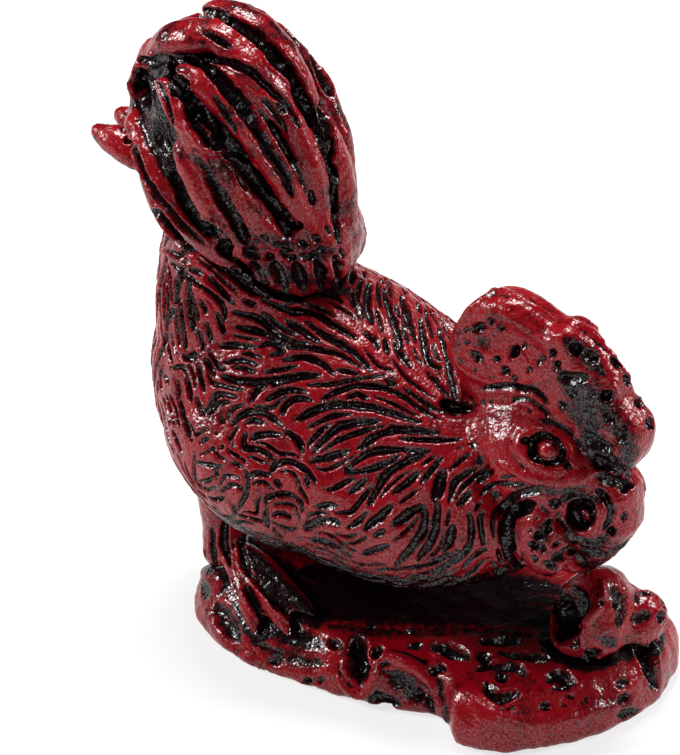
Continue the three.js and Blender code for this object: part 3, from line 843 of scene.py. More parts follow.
    def hand_over(
        self, part: bpy.types.Object, whole: bpy.types.Object, node: str, material: bpy.types.Material
    ) -> None:
        """Finishes a part that was cut from a casting, with the wash and painted shade that the casting has
        there.

        Args:
            part: The part as it was cut; it is used up.
            whole: The casting that it was cut from.
            node: The CAD node that it stands for.
            material: The finish.
        """
        without_crumbs(part.data)
        thinned(part)
        mesh = REWASH.run(part, {"Whole": whole, "Finish": material})
        mesh.set_sharp_from_angle(angle=SHARP_ANGLE)
        discard(part)
        given(linked(node + "_carved", mesh), node)


def given(piece: bpy.types.Object, node: str) -> None:
    """Hands a finished piece to the frame in place of a CAD node.

    Args:
        piece: The finished piece.
        node: The name of the node.
    """
    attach(piece, BODY)
    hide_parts(node)
    LOG.info("%s: %d faces", piece.name, len(piece.data.polygons))


def gathered(name: str, nodes: Iterable[str], grow: float) -> bpy.types.Object:
    """Copies CAD nodes into one working object, with their triangles joined up.

    Args:
        name: The working object's name.
        nodes: The names of the nodes.
        grow: How far each copy is grown along its normals.

    Returns:
        The working object.
    """
    work = bmesh.new()
    for node in nodes:
        part = bmesh.new()
        part.from_mesh(FRAME["nodes"][node].data)
        bmesh.ops.remove_doubles(part, verts=part.verts, dist=MERGE_REACH)
        part.normal_update()
        made = [work.verts.new(vertex.co + vertex.normal * grow) for vertex in part.verts]
        for face in part.faces:
            work.faces.new([made[vertex.index] for vertex in face.verts])
        part.free()
    mesh = bpy.data.meshes.new(name)
    work.to_mesh(mesh)
    work.free()
    return linked(name, mesh)


def remeshed(name: str, nodes: Iterable[str], grow: float, voxel: float) -> bpy.types.Object:
    """Fuses grown copies of CAD nodes into one closed mesh of even squares.

    Args:
        name: The working object's name.
        nodes: The names of the nodes.
        grow: How far each copy is grown along its normals.
        voxel: The size of the squares.

    Returns:
        The working object.
    """
    work = gathered(name + "_work", nodes, grow)
    fuse = work.modifiers.new("fuse", "REMESH")
    fuse.mode = "VOXEL"
    fuse.voxel_size = voxel
    fused = linked(name, evaluated(work))
    discard(work)
    return fused


def divided(piece: bpy.types.Object, cutter: bpy.types.Object, operation: str) -> bpy.types.Mesh:
    """Cuts one closed mesh by another.

    Args:
        piece: The mesh to cut.
        cutter: The mesh that cuts it.
        operation: INTERSECT for what is inside the cutter, DIFFERENCE for the rest.

    Returns:
        The result as a new mesh.
    """
    modifier = piece.modifiers.new("part", "BOOLEAN")
    modifier.operation = operation
    modifier.solver = "MANIFOLD"
    modifier.object = cutter
    mesh = evaluated(piece)
    piece.modifiers.clear()
    return mesh


def without_crumbs(mesh: bpy.types.Mesh) -> None:
    """Deletes every loose body of a mesh but the largest.

    Args:
        mesh: The mesh, which is changed.
    """
    work = bmesh.new()
    work.from_mesh(mesh)
    bodies: list[list[bmesh.types.BMVert]] = []
    met: set[int] = set()
    work.verts.ensure_lookup_table()
    for start in work.verts:
        if start.index in met:
            continue
        met.add(start.index)
        body = [start]
        for vertex in body:
            for edge in vertex.link_edges:
                other = edge.other_vert(vertex)
                if other.index not in met:
                    met.add(other.index)
                    body.append(other)
        bodies.append(body)
    bodies.sort(key=len)
    for body in bodies[:-1]:
        bmesh.ops.delete(work, geom=body, context="VERTS")
    work.to_mesh(mesh)
    work.free()


def thinned(piece: bpy.types.Object) -> None:
    """Thins out a mesh that has more triangles than MOST_TRIANGLES.

    Args:
        piece: The object of the mesh, which gets a new one.
    """
    mesh = piece.data
    count = len(mesh.loops) - 2 * len(mesh.polygons)
    if count <= MOST_TRIANGLES:
        return
    modifier = piece.modifiers.new("thin", "DECIMATE")
    modifier.ratio = MOST_TRIANGLES / count
    piece.data = evaluated(piece)
    piece.modifiers.clear()
    bpy.data.meshes.remove(mesh)


def soften_tree() -> NodeSheet:
    """Draws the tree that rounds a fused skin and sinks it back to its size.

    Returns:
        The tree, with inputs Rounds and Sink.
    """
    sheet = NodeSheet("soften")
    rounds = sheet.size("Rounds", "NodeSocketInt")
    sink = sheet.size("Sink", "NodeSocketFloat")
    place = sheet.node("GeometryNodeInputPosition", {}).outputs[0]
    inputs = {"Value": place, "Iterations": rounds}
    blurred = sheet.node("GeometryNodeBlurAttribute", inputs, data_type="FLOAT_VECTOR").outputs[0]
    inputs = {"Geometry": sheet.entry.outputs["Geometry"], "Position": blurred}
    rounded = sheet.node("GeometryNodeSetPosition", inputs).outputs[0]
    sheet.close(sheet.lifted(rounded, sheet.math("MULTIPLY", sink, -1.0)))
    return sheet


def nearest_stroke(
    sheet: NodeSheet, strokes: bpy.types.NodeSocket
) -> tuple[bpy.types.NodeSocket, bpy.types.NodeSocket, bpy.types.NodeSocket]:
    """Adds the nodes that find the nearest stroke of an object of strokes.

    Args:
        sheet: The tree to add to.
        strokes: The object of strokes.

    Returns:
        The distance from the stroke in half widths, its depth and its ink.
    """
    lines = sheet.node("GeometryNodeObjectInfo", {"Object": strokes}).outputs["Geometry"]
    away = sheet.node("GeometryNodeProximity", {0: lines}, target_element="EDGES").outputs["Distance"]
    nearest = sheet.node("GeometryNodeSampleNearest", {0: lines}, domain="POINT").outputs[0]
    found = []
    for name in ("wide", "deep", "ink"):
        inputs = {"Geometry": lines, "Value": sheet.attribute(name), "Index": nearest}
        sample = sheet.node("GeometryNodeSampleIndex", inputs, data_type="FLOAT", domain="POINT")
        found.append(sample.outputs[0])
    return sheet.math("DIVIDE", away, found[0]), found[1], found[2]


def press_tree() -> NodeSheet:
    """Draws the tree that presses smooth hollows or raises ridges along strokes, and blackens them with wash,
    and on some strokes with painted shade.

    Returns:
        The tree, with the input Strokes.
    """
    sheet = NodeSheet("press")
    span, deep, ink = nearest_stroke(sheet, sheet.size("Strokes", "NodeSocketObject"))
    share = sheet.ramp(span, 0.0, 1.0, 1.0, 0.0)
    # Pressed strokes leave their ink as black: wash, and on the flat strokes under the bird and on the stone,
    # painted shade
    stain = sheet.math("MAXIMUM", sheet.attribute("patina"), sheet.math("MULTIPLY", ink, share))
    stained = sheet.stored(sheet.entry.outputs["Geometry"], stain)
    height = sheet.math("MULTIPLY", sheet.math("MULTIPLY", deep, -1.0), share)
    sheet.close(sheet.lifted(stained, height))
    return sheet


def carve_tree(profile: CutProfile) -> NodeSheet:
    """Draws the tree that cuts strokes into a skin and lays the black wash, with painted shade on the
    undersides.

    Args:
        profile: The section of the cuts, where the wash lies, and which undersides get painted shade.

    Returns:
        The tree, with inputs for the strokes, the neighbours, the surface and the finish.
    """
    sheet = NodeSheet("carve")
    strokes = sheet.size("Strokes", "NodeSocketObject")
    neighbours = sheet.size("Neighbours", "NodeSocketObject")
    hammer = sheet.size("Hammer", "NodeSocketFloat")
    roughness = sheet.size("Rough", "NodeSocketFloat")
    seam_reach = sheet.size("Seam reach", "NodeSocketFloat")
    underside_wash_and_shade = sheet.size("Underside wash and shade", "NodeSocketFloat")
    speckle = sheet.size("Speckle", "NodeSocketFloat")
    finish = sheet.size("Finish", "NodeSocketMaterial")

    wobble = sheet.math("SUBTRACT", sheet.noise(profile.wobble_scale, profile.noise_detail), 0.5)
    span, deep, ink = nearest_stroke(sheet, strokes)
    span = sheet.math("MULTIPLY_ADD", wobble, profile.wobble, span)
    groove = sheet.ramp(span, *profile.groove, 1.0, 0.0)
    groove = sheet.math("MULTIPLY", groove, profile.groove_share)
    shoulder = sheet.ramp(span, *profile.shoulder, 1.0, 0.0)
    shoulder = sheet.math("MULTIPLY", shoulder, profile.shoulder_share)
    rise = sheet.ramp(span, *profile.lip_rise, 0.0, profile.lip_share)
    lip = sheet.math("MULTIPLY", rise, sheet.ramp(span, *profile.lip_fall, 1.0, 0.0))
    cut = sheet.math("MULTIPLY", deep, sheet.math("SUBTRACT", sheet.math("ADD", groove, shoulder), lip))
    beaten = sheet.math("SUBTRACT", sheet.noise(profile.hammer_scale, profile.noise_detail), 0.5)
    beaten = sheet.math("MULTIPLY", beaten, hammer)
    rough = sheet.math("SUBTRACT", sheet.noise(profile.rough_scale, profile.noise_detail), 0.5)
    rough = sheet.math("MULTIPLY", rough, roughness)
    height = sheet.math("SUBTRACT", sheet.math("ADD", beaten, rough), cut)
    inputs = {"Value": height, "Iterations": 1}
    height = sheet.node("GeometryNodeBlurAttribute", inputs, data_type="FLOAT").outputs[0]

    solids = sheet.node("GeometryNodeObjectInfo", {"Object": neighbours}).outputs["Geometry"]
    gap = sheet.node("GeometryNodeProximity", {0: solids}, target_element="FACES").outputs["Distance"]
    gap = sheet.math("MULTIPLY_ADD", wobble, sheet.math("MULTIPLY", seam_reach, profile.seam_wobble), gap)
    seam = sheet.ramp(gap, sheet.math("MULTIPLY", seam_reach, profile.seam_full), seam_reach, 1.0, 0.0)
    stain = sheet.math("MULTIPLY", sheet.ramp(span, *profile.stain, 1.0, 0.0), ink)
    # Points are blackened by how far they face down: painted shade on the undersides, together with the wash
    normal = sheet.node("GeometryNodeInputNormal", {}).outputs[0]
    level = sheet.node("ShaderNodeSeparateXYZ", {0: normal}).outputs["Z"]
    below = sheet.math("MULTIPLY", sheet.ramp(level, *profile.underside, 1.0, 0.0), underside_wash_and_shade)
    specks = sheet.noise(profile.speck_scale, profile.speck_detail)
    specks = sheet.math("MULTIPLY", sheet.ramp(specks, *profile.speck_range, 0.0, 1.0), speckle)
    wash = sheet.math("MAXIMUM", sheet.math("MAXIMUM", stain, seam), sheet.math("MAXIMUM", below, specks))
    wash = sheet.math("MAXIMUM", wash, sheet.attribute("patina"))
    washed = sheet.stored(sheet.entry.outputs["Geometry"], wash)
    carved = sheet.lifted(washed, height)

    pooled = sheet.attribute("patina")
    for rounds, least, most in (profile.fine_hollow, profile.broad_hollow):
        hollow = sheet.ramp(sheet.hollow(rounds), least, most, 0.0, 1.0)
        pooled = sheet.math("MAXIMUM", pooled, hollow)
    pooled_skin = sheet.stored(carved, pooled)
    sheet.finished(pooled_skin, finish)
    return sheet


def rewash_tree() -> NodeSheet:
    """Draws the tree that gives a cut part the wash and painted shade of the casting that it came from.

    Returns:
        The tree, with inputs Whole and Finish.
    """
    sheet = NodeSheet("rewash")
    whole = sheet.size("Whole", "NodeSocketObject")
    finish = sheet.size("Finish", "NodeSocketMaterial")
    casting = sheet.node("GeometryNodeObjectInfo", {"Object": whole}).outputs["Geometry"]
    inputs = {"Mesh": casting, "Value": sheet.attribute("patina")}
    wash = sheet.node("GeometryNodeSampleNearestSurface", inputs, data_type="FLOAT").outputs[0]
    sheet.finished(sheet.stored(sheet.entry.outputs["Geometry"], wash), finish)
    return sheet


def ring_path(centre: Pixel, wide: float, high: float, turn: float, count: int) -> tuple[Pixel, ...]:
    """Draws a closed oval in the photograph.

    Args:
        centre: Its middle.
        wide: Half its width in pixels.
        high: Half its height in pixels.
        turn: Degrees that it is turned clockwise.
        count: How many points it has.

    Returns:
        The points, with the first one again at the end.
    """
    lean = math.radians(turn)
    points = []
    for index in range(count + 1):
        angle = 2 * math.pi * index / count
        aside, down = wide * math.cos(angle), high * math.sin(angle)
        across = aside * math.cos(lean) - down * math.sin(lean)
        points.append((centre[0] + across, centre[1] + aside * math.sin(lean) + down * math.cos(lean)))
    return tuple(points)


# Strokes by their pixels in the photograph, half width and depth in millimetres, and ink
BACK_STROKES = (
    Stroke(((262, 300), (290, 311), (312, 312), (335, 325), (356, 338)), 0.32, 0.44),
    Stroke(((232, 312), (245, 315), (260, 320), (275, 332), (290, 340), (310, 343)), 0.26, 0.38),
    Stroke(((287, 320), (302, 330), (320, 342)), 0.36, 0.44),
    Stroke(((307, 322), (325, 335), (347, 347), (362, 360), (371, 371)), 0.30, 0.42),
    Stroke(((235, 327), (250, 330), (270, 335), (285, 345)), 0.26, 0.38),
    Stroke(((220, 346), (237, 345), (257, 347)), 0.24, 0.34),
    Stroke(((259, 346), (272, 342), (282, 350), (270, 355)), 0.32, 0.38),
    Stroke(((286, 347), (310, 347), (325, 350), (342, 355), (362, 368)), 0.26, 0.38),
    Stroke(((225, 362), (242, 360), (257, 365)), 0.22, 0.32),
    Stroke(((282, 360), (300, 357), (320, 362), (335, 375)), 0.26, 0.38),
    Stroke(((222, 376), (235, 380), (260, 382), (280, 380), (300, 376), (320, 375)), 0.36, 0.44),
    Stroke(((250, 402), (257, 390), (267, 384)), 0.26, 0.36),
    Stroke(((307, 385), (330, 384), (350, 380), (385, 375)), 0.18, 0.30),
    Stroke(((265, 400), (275, 395), (290, 390), (307, 392)), 0.28, 0.38),
    Stroke(((282, 415), (285, 405), (297, 398), (311, 400)), 0.30, 0.40),
    Stroke(((297, 420), (310, 412), (328, 404)), 0.28, 0.38),
    Stroke(((322, 400), (335, 392), (357, 385), (382, 387), (402, 395), (421, 408), (440, 420)), 0.27, 0.40),
    Stroke(((347, 398), (357, 394), (368, 399)), 0.26, 0.32),
    Stroke(((370, 282), (367, 302), (372, 324)), 0.34, 0.40),
    Stroke(((385, 288), (390, 307), (397, 327), (401, 348)), 0.42, 0.46),
    Stroke(((402, 295), (407, 315), (416, 342)), 0.32, 0.40),
    Stroke(((364, 332), (374, 340), (378, 349)), 0.26, 0.34),
    Stroke(((385, 338), (388, 354)), 0.22, 0.30),
    Stroke(((395, 342), (402, 355), (411, 367)), 0.32, 0.40),
    Stroke(((421, 318), (425, 346), (430, 362), (442, 368)), 0.34, 0.40),
    Stroke(((438, 328), (446, 352), (452, 378), (457, 402)), 0.30, 0.36),
    Stroke(((428, 372), (440, 386), (450, 396)), 0.22, 0.30),
    Stroke(((202, 250), (225, 270), (250, 288), (268, 297)), 0.50, 0.46),
    Stroke(((172, 264), (186, 277), (208, 290), (222, 306), (225, 322)), 0.28, 0.38),
    Stroke(((242, 300), (256, 306)), 0.22, 0.30),
    Stroke(((150, 240), (162, 253)), 0.26, 0.34),
)

RUMP_STROKES = (
    Stroke(((165, 266), (167, 302), (167, 340), (172, 364)), 0.24, 0.36),
    Stroke(((175, 278), (180, 315), (186, 350)), 0.30, 0.40),
    Stroke(((188, 282), (190, 310), (193, 332)), 0.34, 0.42),
    Stroke(((160, 277), (161, 322), (165, 356)), 0.18, 0.30),
    Stroke(((200, 300), (207, 314)), 0.20, 0.28),
    Stroke(((216, 312), (225, 334)), 0.22, 0.30),
    Stroke(((183, 356), (190, 358), (196, 354)), 0.46, 0.34),
    Stroke(((170, 368), (182, 367), (188, 376)), 0.20, 0.28),
    Stroke(((177, 380), (180, 402), (187, 430), (192, 442)), 0.22, 0.34),
    Stroke(((187, 378), (191, 402)), 0.25, 0.34),
    Stroke(((197, 365), (204, 392)), 0.22, 0.30),
    Stroke(((205, 358), (214, 376)), 0.28, 0.34),
    Stroke(((166, 395), (175, 427)), 0.18, 0.28),
    Stroke(((172, 430), (182, 455)), 0.20, 0.28),
    Stroke(((198, 330), (204, 350)), 0.20, 0.28),
    Stroke(((206, 322), (212, 344)), 0.18, 0.26),
)

HACKLE_STROKES = (
    Stroke(((300, 420), (330, 405), (370, 407), (420, 422)), 0.34, 0.32),
    Stroke(((313, 452), (340, 426), (380, 421)), 0.36, 0.34),
    Stroke(((309, 462), (349, 451)), 0.30, 0.28),
    Stroke(((358, 449), (389, 430), (438, 433)), 0.38, 0.36),
    Stroke(((344, 471), (373, 452), (429, 451)), 0.30, 0.30),
    Stroke(((346, 474), (375, 468), (400, 455)), 0.26, 0.24),
    Stroke(((369, 505), (389, 472), (427, 452)), 0.38, 0.36),
    Stroke(((349, 494), (367, 479)), 0.26, 0.24),
    Stroke(((393, 494), (420, 472)), 0.30, 0.30),
    Stroke(((364, 530), (393, 505)), 0.34, 0.34),
    Stroke(((422, 483), (442, 457)), 0.24, 0.24),
    Stroke(((435, 501), (444, 470)), 0.42, 0.40),
    Stroke(((418, 561), (433, 537), (438, 503)), 0.34, 0.34),
    Stroke(((449, 503), (456, 481), (476, 468)), 0.28, 0.28),
    Stroke(((458, 506), (471, 492)), 0.28, 0.26),
    Stroke(((478, 483), (493, 470)), 0.22, 0.22),
    Stroke(((393, 525), (424, 506)), 0.46, 0.36),
    Stroke(((425, 508), (422, 534), (396, 566)), 0.36, 0.34),
    Stroke(((444, 552), (453, 526)), 0.54, 0.42),
    Stroke(((455, 564), (469, 548), (472, 528), (469, 513)), 0.26, 0.30),
    Stroke(((484, 546), (480, 521), (484, 511)), 0.24, 0.28),
    Stroke(((494, 538), (494, 518), (502, 506), (520, 499)), 0.22, 0.26),
    Stroke(((463, 568), (477, 554), (487, 549)), 0.22, 0.26),
    Stroke(((480, 496), (490, 486), (506, 482)), 0.18, 0.22),
    Stroke(((500, 514), (522, 494), (544, 486)), 0.26, 0.26),
    Stroke(((442, 403), (456, 404), (470, 412)), 0.55, 0.5),
    Stroke(((500, 478), (515, 476)), 0.16, 0.12, 0.8),
    Stroke(((498, 517), (510, 499), (524, 494), (541, 492)), 0.30, 0.28),
    Stroke(((500, 486), (514, 484), (530, 486)), 0.16, 0.20, 0.8),
    Stroke(((495, 570), (522, 579)), 0.50, 0.40),
)

BREAST_STROKES = (
    Stroke(((378, 570), (424, 566), (460, 550)), 0.28, 0.28),
    Stroke(((407, 577), (442, 570), (473, 543)), 0.34, 0.32),
    Stroke(((389, 590), (424, 586), (456, 577)), 0.28, 0.28),
    Stroke(((362, 555), (390, 545)), 0.28, 0.26),
    Stroke(((374, 537), (385, 530)), 0.26, 0.24),
    Stroke(((304, 530), (320, 521), (340, 524)), 0.42, 0.34),
    Stroke(((310, 540), (330, 545), (350, 558)), 0.46, 0.36),
    Stroke(((316, 507), (337, 505)), 0.28, 0.26),
)

FLANK_STROKES = (
    Stroke(((200, 415), (210, 405), (217, 395), (237, 397)), 0.26, 0.34),
    Stroke(((232, 425), (242, 415), (255, 412), (270, 417), (283, 427)), 0.30, 0.40),
    Stroke(((250, 440), (260, 435), (281, 434)), 0.26, 0.34),
    Stroke(((285, 432), (297, 440), (303, 453)), 0.28, 0.36),
    Stroke(((245, 432), (245, 447), (260, 450), (276, 461)), 0.24, 0.34),
    Stroke(((272, 473), (275, 465), (290, 462), (305, 470), (316, 483)), 0.27, 0.36),
    Stroke(((246, 480), (255, 474), (270, 475)), 0.24, 0.32),
    Stroke(((246, 470), (246, 492), (237, 511)), 0.22, 0.30),
    Stroke(((265, 503), (270, 497), (285, 495), (300, 502), (302, 512)), 0.25, 0.32),
    Stroke(((267, 506), (266, 517), (268, 528)), 0.22, 0.28),
    Stroke(((237, 515), (255, 520), (265, 522)), 0.20, 0.28),
    Stroke(((272, 516), (282, 514), (291, 519)), 0.24, 0.28),
    Stroke(((196, 462), (212, 466), (222, 466)), 0.20, 0.28),
    Stroke(((216, 465), (216, 479)), 0.20, 0.26),
    Stroke(((195, 452), (195, 480), (207, 490), (216, 487)), 0.20, 0.28),
    Stroke(((222, 491), (232, 485), (244, 490)), 0.20, 0.28),
    Stroke(((212, 505), (225, 517), (236, 517)), 0.20, 0.28),
    Stroke(((232, 504), (236, 517)), 0.20, 0.26),
    Stroke(((255, 532), (267, 537), (281, 546)), 0.22, 0.28),
    Stroke(((275, 479), (281, 488)), 0.22, 0.28),
    Stroke(((305, 476), (309, 488)), 0.20, 0.26),
    Stroke(((232, 462), (242, 468)), 0.18, 0.24),
    Stroke(((220, 446), (222, 449)), 0.24, 0.26),
    Stroke(((214, 431), (216, 434)), 0.20, 0.24),
    Stroke(((222, 418), (223, 424)), 0.22, 0.26),
    Stroke(((200, 443), (208, 437)), 0.18, 0.24),
    Stroke(((204, 415), (198, 404), (196, 396)), 0.20, 0.26),
)

BACK_FORM = (
    Stroke(((155, 246), (182, 263), (204, 280), (232, 303)), 0.50, -0.34, 0.0),
    Stroke(((212, 270), (224, 284), (238, 298)), 0.42, -0.26, 0.0),
    Stroke(((236, 272), (265, 284), (300, 292), (330, 292), (348, 288)), 1.5, 0.10, 0.95),
    Stroke(((345, 290), (356, 300), (362, 320)), 1.1, 0.10, 0.75),
    Stroke(((440, 404), (455, 410), (470, 412)), 1.0, 0.30, 0.9),
)

COMB_PITS = (
    Stroke(((473, 331), (480, 328), (485, 329)), 0.42, 0.40),
    Stroke(((466, 331), (468, 330)), 0.26, 0.26),
    Stroke(((488, 321), (493, 323)), 0.32, 0.34),
    Stroke(((498, 327), (504, 330)), 0.28, 0.30),
    Stroke(((512, 349), (517, 354)), 0.60, 0.60),
    Stroke(((523, 344), (525, 347)), 0.24, 0.26),
    Stroke(((471, 354), (477, 357), (481, 362)), 0.36, 0.36),
    Stroke(((495, 357), (498, 362)), 0.32, 0.36),
    Stroke(((503, 368), (508, 374)), 0.40, 0.40),
    Stroke(((512, 378), (516, 380)), 0.26, 0.28),
    Stroke(((528, 369), (530, 371)), 0.32, 0.34),
    Stroke(((550, 352), (554, 356)), 0.40, 0.42),
    Stroke(((554, 364), (559, 368)), 0.42, 0.42),
    Stroke(((540, 360), (541, 362)), 0.22, 0.24),
    Stroke(((574, 343), (577, 354)), 0.50, 0.45),
    Stroke(((559, 378), (572, 379), (588, 377)), 0.42, 0.40),
    Stroke(((588, 352), (598, 362)), 0.46, 0.36, 0.8),
    Stroke(((467, 342), (468, 344)), 0.24, 0.24),
    Stroke(((604, 392), (610, 400)), 0.46, 0.40),
    Stroke(((590, 392), (594, 396)), 0.30, 0.30),
    Stroke(((612, 358), (620, 366)), 0.36, 0.32),
    Stroke(((624, 376), (630, 384)), 0.32, 0.30),
    Stroke(((606, 414), (611, 424)), 0.44, 0.40),
    Stroke(((617, 432), (626, 440)), 0.42, 0.38),
    Stroke(((586, 434), (598, 444), (612, 448)), 0.46, 0.40),
    Stroke(((594, 458), (606, 466), (622, 472)), 0.52, 0.46),
    Stroke(((636, 400), (642, 405)), 0.42, 0.50),
    Stroke(((647, 420), (652, 428)), 0.40, 0.30),
    Stroke(((560, 404), (563, 408)), 0.26, 0.26),
    Stroke(((572, 392), (574, 396)), 0.26, 0.24),
    Stroke(((612, 458), (616, 462)), 0.34, 0.34),
    Stroke(((482, 389), (500, 387), (520, 388), (536, 392), (547, 404)), 0.30, 0.46),
    Stroke(((512, 400), (524, 399), (538, 404)), 0.18, 0.22),
    Stroke(((533, 404), (542, 409), (549, 417)), 0.20, 0.24),
)

COMB_FORM = (
    Stroke(((578, 384), (602, 406), (622, 438), (630, 464)), 2.2, 0.0, 0.85),
    Stroke(((560, 402), (590, 430), (608, 462)), 1.8, 0.0, 0.8),
    Stroke(
        ((455, 346), (459, 326), (470, 309), (485, 298), (498, 291), (513, 295), (531, 304), (549, 314)),
        0.6, -0.26, 0.0,
    ),
    Stroke(((560, 321), (573, 321), (590, 331), (606, 346), (620, 363), (630, 379)), 0.6, -0.26, 0.0),
    Stroke(((560, 372), (576, 394), (588, 416), (592, 438)), 2.3, 0.10, 0.95),
    Stroke(((584, 432), (596, 452), (612, 464), (630, 470)), 1.8, 0.12, 1.1),
    Stroke(((566, 340), (584, 356), (604, 372)), 1.6, 0.10, 0.85),
    Stroke(((600, 395), (612, 415), (622, 436)), 1.5, 0.10, 0.75),
    Stroke(((462, 412), (464, 428), (467, 446)), 1.7, -0.30, 0.0),
    Stroke(((500, 463), (525, 476), (550, 481), (578, 479), (596, 470)), 0.9, -0.24, 0.0),
    Stroke(((506, 484), (530, 491), (560, 492), (586, 487)), 0.8, 0.12, 0.70),
    Stroke(((478, 345), (500, 338), (522, 345), (545, 362)), 1.9, 0.45, 0.15),
    Stroke(((510, 308), (530, 322), (548, 336)), 1.1, 0.30, 0.0),
    Stroke(((572, 352), (592, 370), (606, 398)), 1.7, 0.40, 0.45),
    Stroke(((600, 420), (612, 436), (606, 458)), 1.6, 0.25, 0.50),
    Stroke(((452, 340), (456, 362), (474, 376), (500, 384), (530, 384)), 0.6, -0.16, 0.0),
    Stroke(((590, 455), (610, 468), (630, 475)), 1.0, 0.20, 0.65),
)

BEAK_PITS = (
    Stroke(ring_path((583, 515), 10, 10, 0, 12), 0.42, 0.60),
    Stroke(((582, 514), (585, 517)), 0.40, 0.30, 0.72),
    Stroke(((596, 490), (607, 499), (612, 515), (604, 529)), 0.30, 0.36),
    Stroke(((621, 484), (625, 492)), 0.34, 0.34),
    Stroke(((622, 517), (626, 517)), 0.34, 0.34),
    Stroke(((608, 534), (615, 530)), 0.50, 0.46),
    Stroke(((576, 538), (590, 542), (606, 540)), 0.50, 0.34),
    Stroke(((592, 552), (604, 556)), 0.44, 0.30),
    Stroke(((554, 500), (556, 508)), 0.42, 0.36),
    Stroke(((578, 552), (584, 566)), 0.34, 0.26),
    Stroke(((552, 561), (562, 556), (572, 548)), 0.46, 0.40),
    Stroke(((598, 476), (616, 480), (632, 486)), 0.40, 0.34),
    Stroke(((612, 552), (622, 546), (632, 538)), 0.34, 0.28),
)

BEAK_FORM = (
    Stroke(((604, 536), (592, 550), (576, 558)), 1.6, 0.06, 0.95),
    Stroke(((560, 500), (576, 496), (600, 502)), 1.3, 0.06, 0.85),
    Stroke(((546, 522), (538, 546)), 1.3, 0.14, 0.85),
    Stroke(((600, 500), (610, 520)), 1.0, -0.20, 0.0),
    Stroke(((576, 545), (592, 548), (604, 545)), 1.2, 0.15, 0.62),
    Stroke(((600, 484), (615, 482), (628, 484)), 0.9, 0.15, 0.60),
    Stroke(((583, 515), (584, 516)), 1.5, 0.30, 0.30),
)

WATTLE_PITS = (
    Stroke(((548, 520), (551, 524)), 0.30, 0.30),
    Stroke(((546, 528), (551, 531)), 0.38, 0.36),
    Stroke(((538, 532), (538, 540)), 0.34, 0.34),
    Stroke(((530, 545), (537, 549)), 0.50, 0.44),
    Stroke(((540, 549), (545, 550)), 0.36, 0.34),
    Stroke(((555, 543), (557, 546)), 0.28, 0.28),
    Stroke(((536, 518), (537, 519)), 0.24, 0.24),
    Stroke(((558, 519), (559, 520)), 0.22, 0.22),
    Stroke(((530, 530), (531, 531)), 0.22, 0.22),
    Stroke(((532, 558), (537, 560)), 0.30, 0.28),
    Stroke(((532, 504), (514, 510), (507, 524), (506, 540), (510, 558), (522, 572)), 0.78, 0.70),
    Stroke(((545, 562), (556, 570)), 0.34, 0.30),
)

ROCK_PITS = (
    Stroke(((357, 636), (358, 658), (359, 682)), 0.72, 1.0),
    Stroke(((380, 647), (374, 657)), 0.40, 0.5),
    Stroke(((368, 626), (374, 628)), 0.36, 0.35),
    Stroke(((408, 630), (415, 633)), 0.40, 0.4),
    Stroke(((410, 647), (421, 643)), 0.40, 0.4),
    Stroke(((433, 645), (450, 650), (467, 658)), 0.66, 0.85),
    Stroke(((478, 657), (490, 656)), 0.50, 0.6),
    Stroke(((482, 641), (500, 640), (520, 640)), 0.52, 0.7),
    Stroke(((500, 652), (525, 656), (550, 659)), 0.42, 0.6),
    Stroke(((478, 670), (490, 665), (502, 667), (516, 667), (525, 675)), 0.42, 0.6),
    Stroke(((501, 670), (503, 682)), 0.36, 0.5),
    Stroke(((486, 682), (492, 693), (504, 697), (516, 692)), 0.42, 0.6),
    Stroke(((432, 674), (438, 668), (445, 669)), 0.34, 0.45),
    Stroke(((548, 680), (558, 675), (567, 682), (557, 687)), 0.54, 0.5, 0.9),
    Stroke(((552, 650), (562, 640)), 0.48, 0.6),
    Stroke(((578, 654), (592, 658), (607, 661)), 0.40, 0.6),
    Stroke(((585, 640), (596, 632)), 0.5, 0.55),
    Stroke(((541, 704), (549, 708)), 0.28, 0.3),
    Stroke(((617, 686), (628, 681)), 0.26, 0.3),
    Stroke(((618, 702), (630, 695)), 0.24, 0.26),
    Stroke(((618, 716), (630, 713), (642, 713)), 0.38, 0.35),
    Stroke(((637, 633), (646, 655), (658, 687)), 0.66, 0.9),
    Stroke(((418, 690), (426, 700), (434, 714)), 0.34, 0.5),
    Stroke(((306, 679), (309, 684)), 0.42, 0.4),
    Stroke(((366, 701), (385, 699), (400, 705)), 0.40, 0.3, 0.9),
    Stroke(((330, 640), (340, 648)), 0.34, 0.3, 0.8),
    Stroke(((216, 605), (226, 620), (240, 640)), 0.60, 0.3, 0.7),
    Stroke(((200, 588), (210, 592)), 0.50, 0.3, 0.9),
    Stroke(((268, 662), (280, 660)), 0.34, 0.3, 0.8),
)

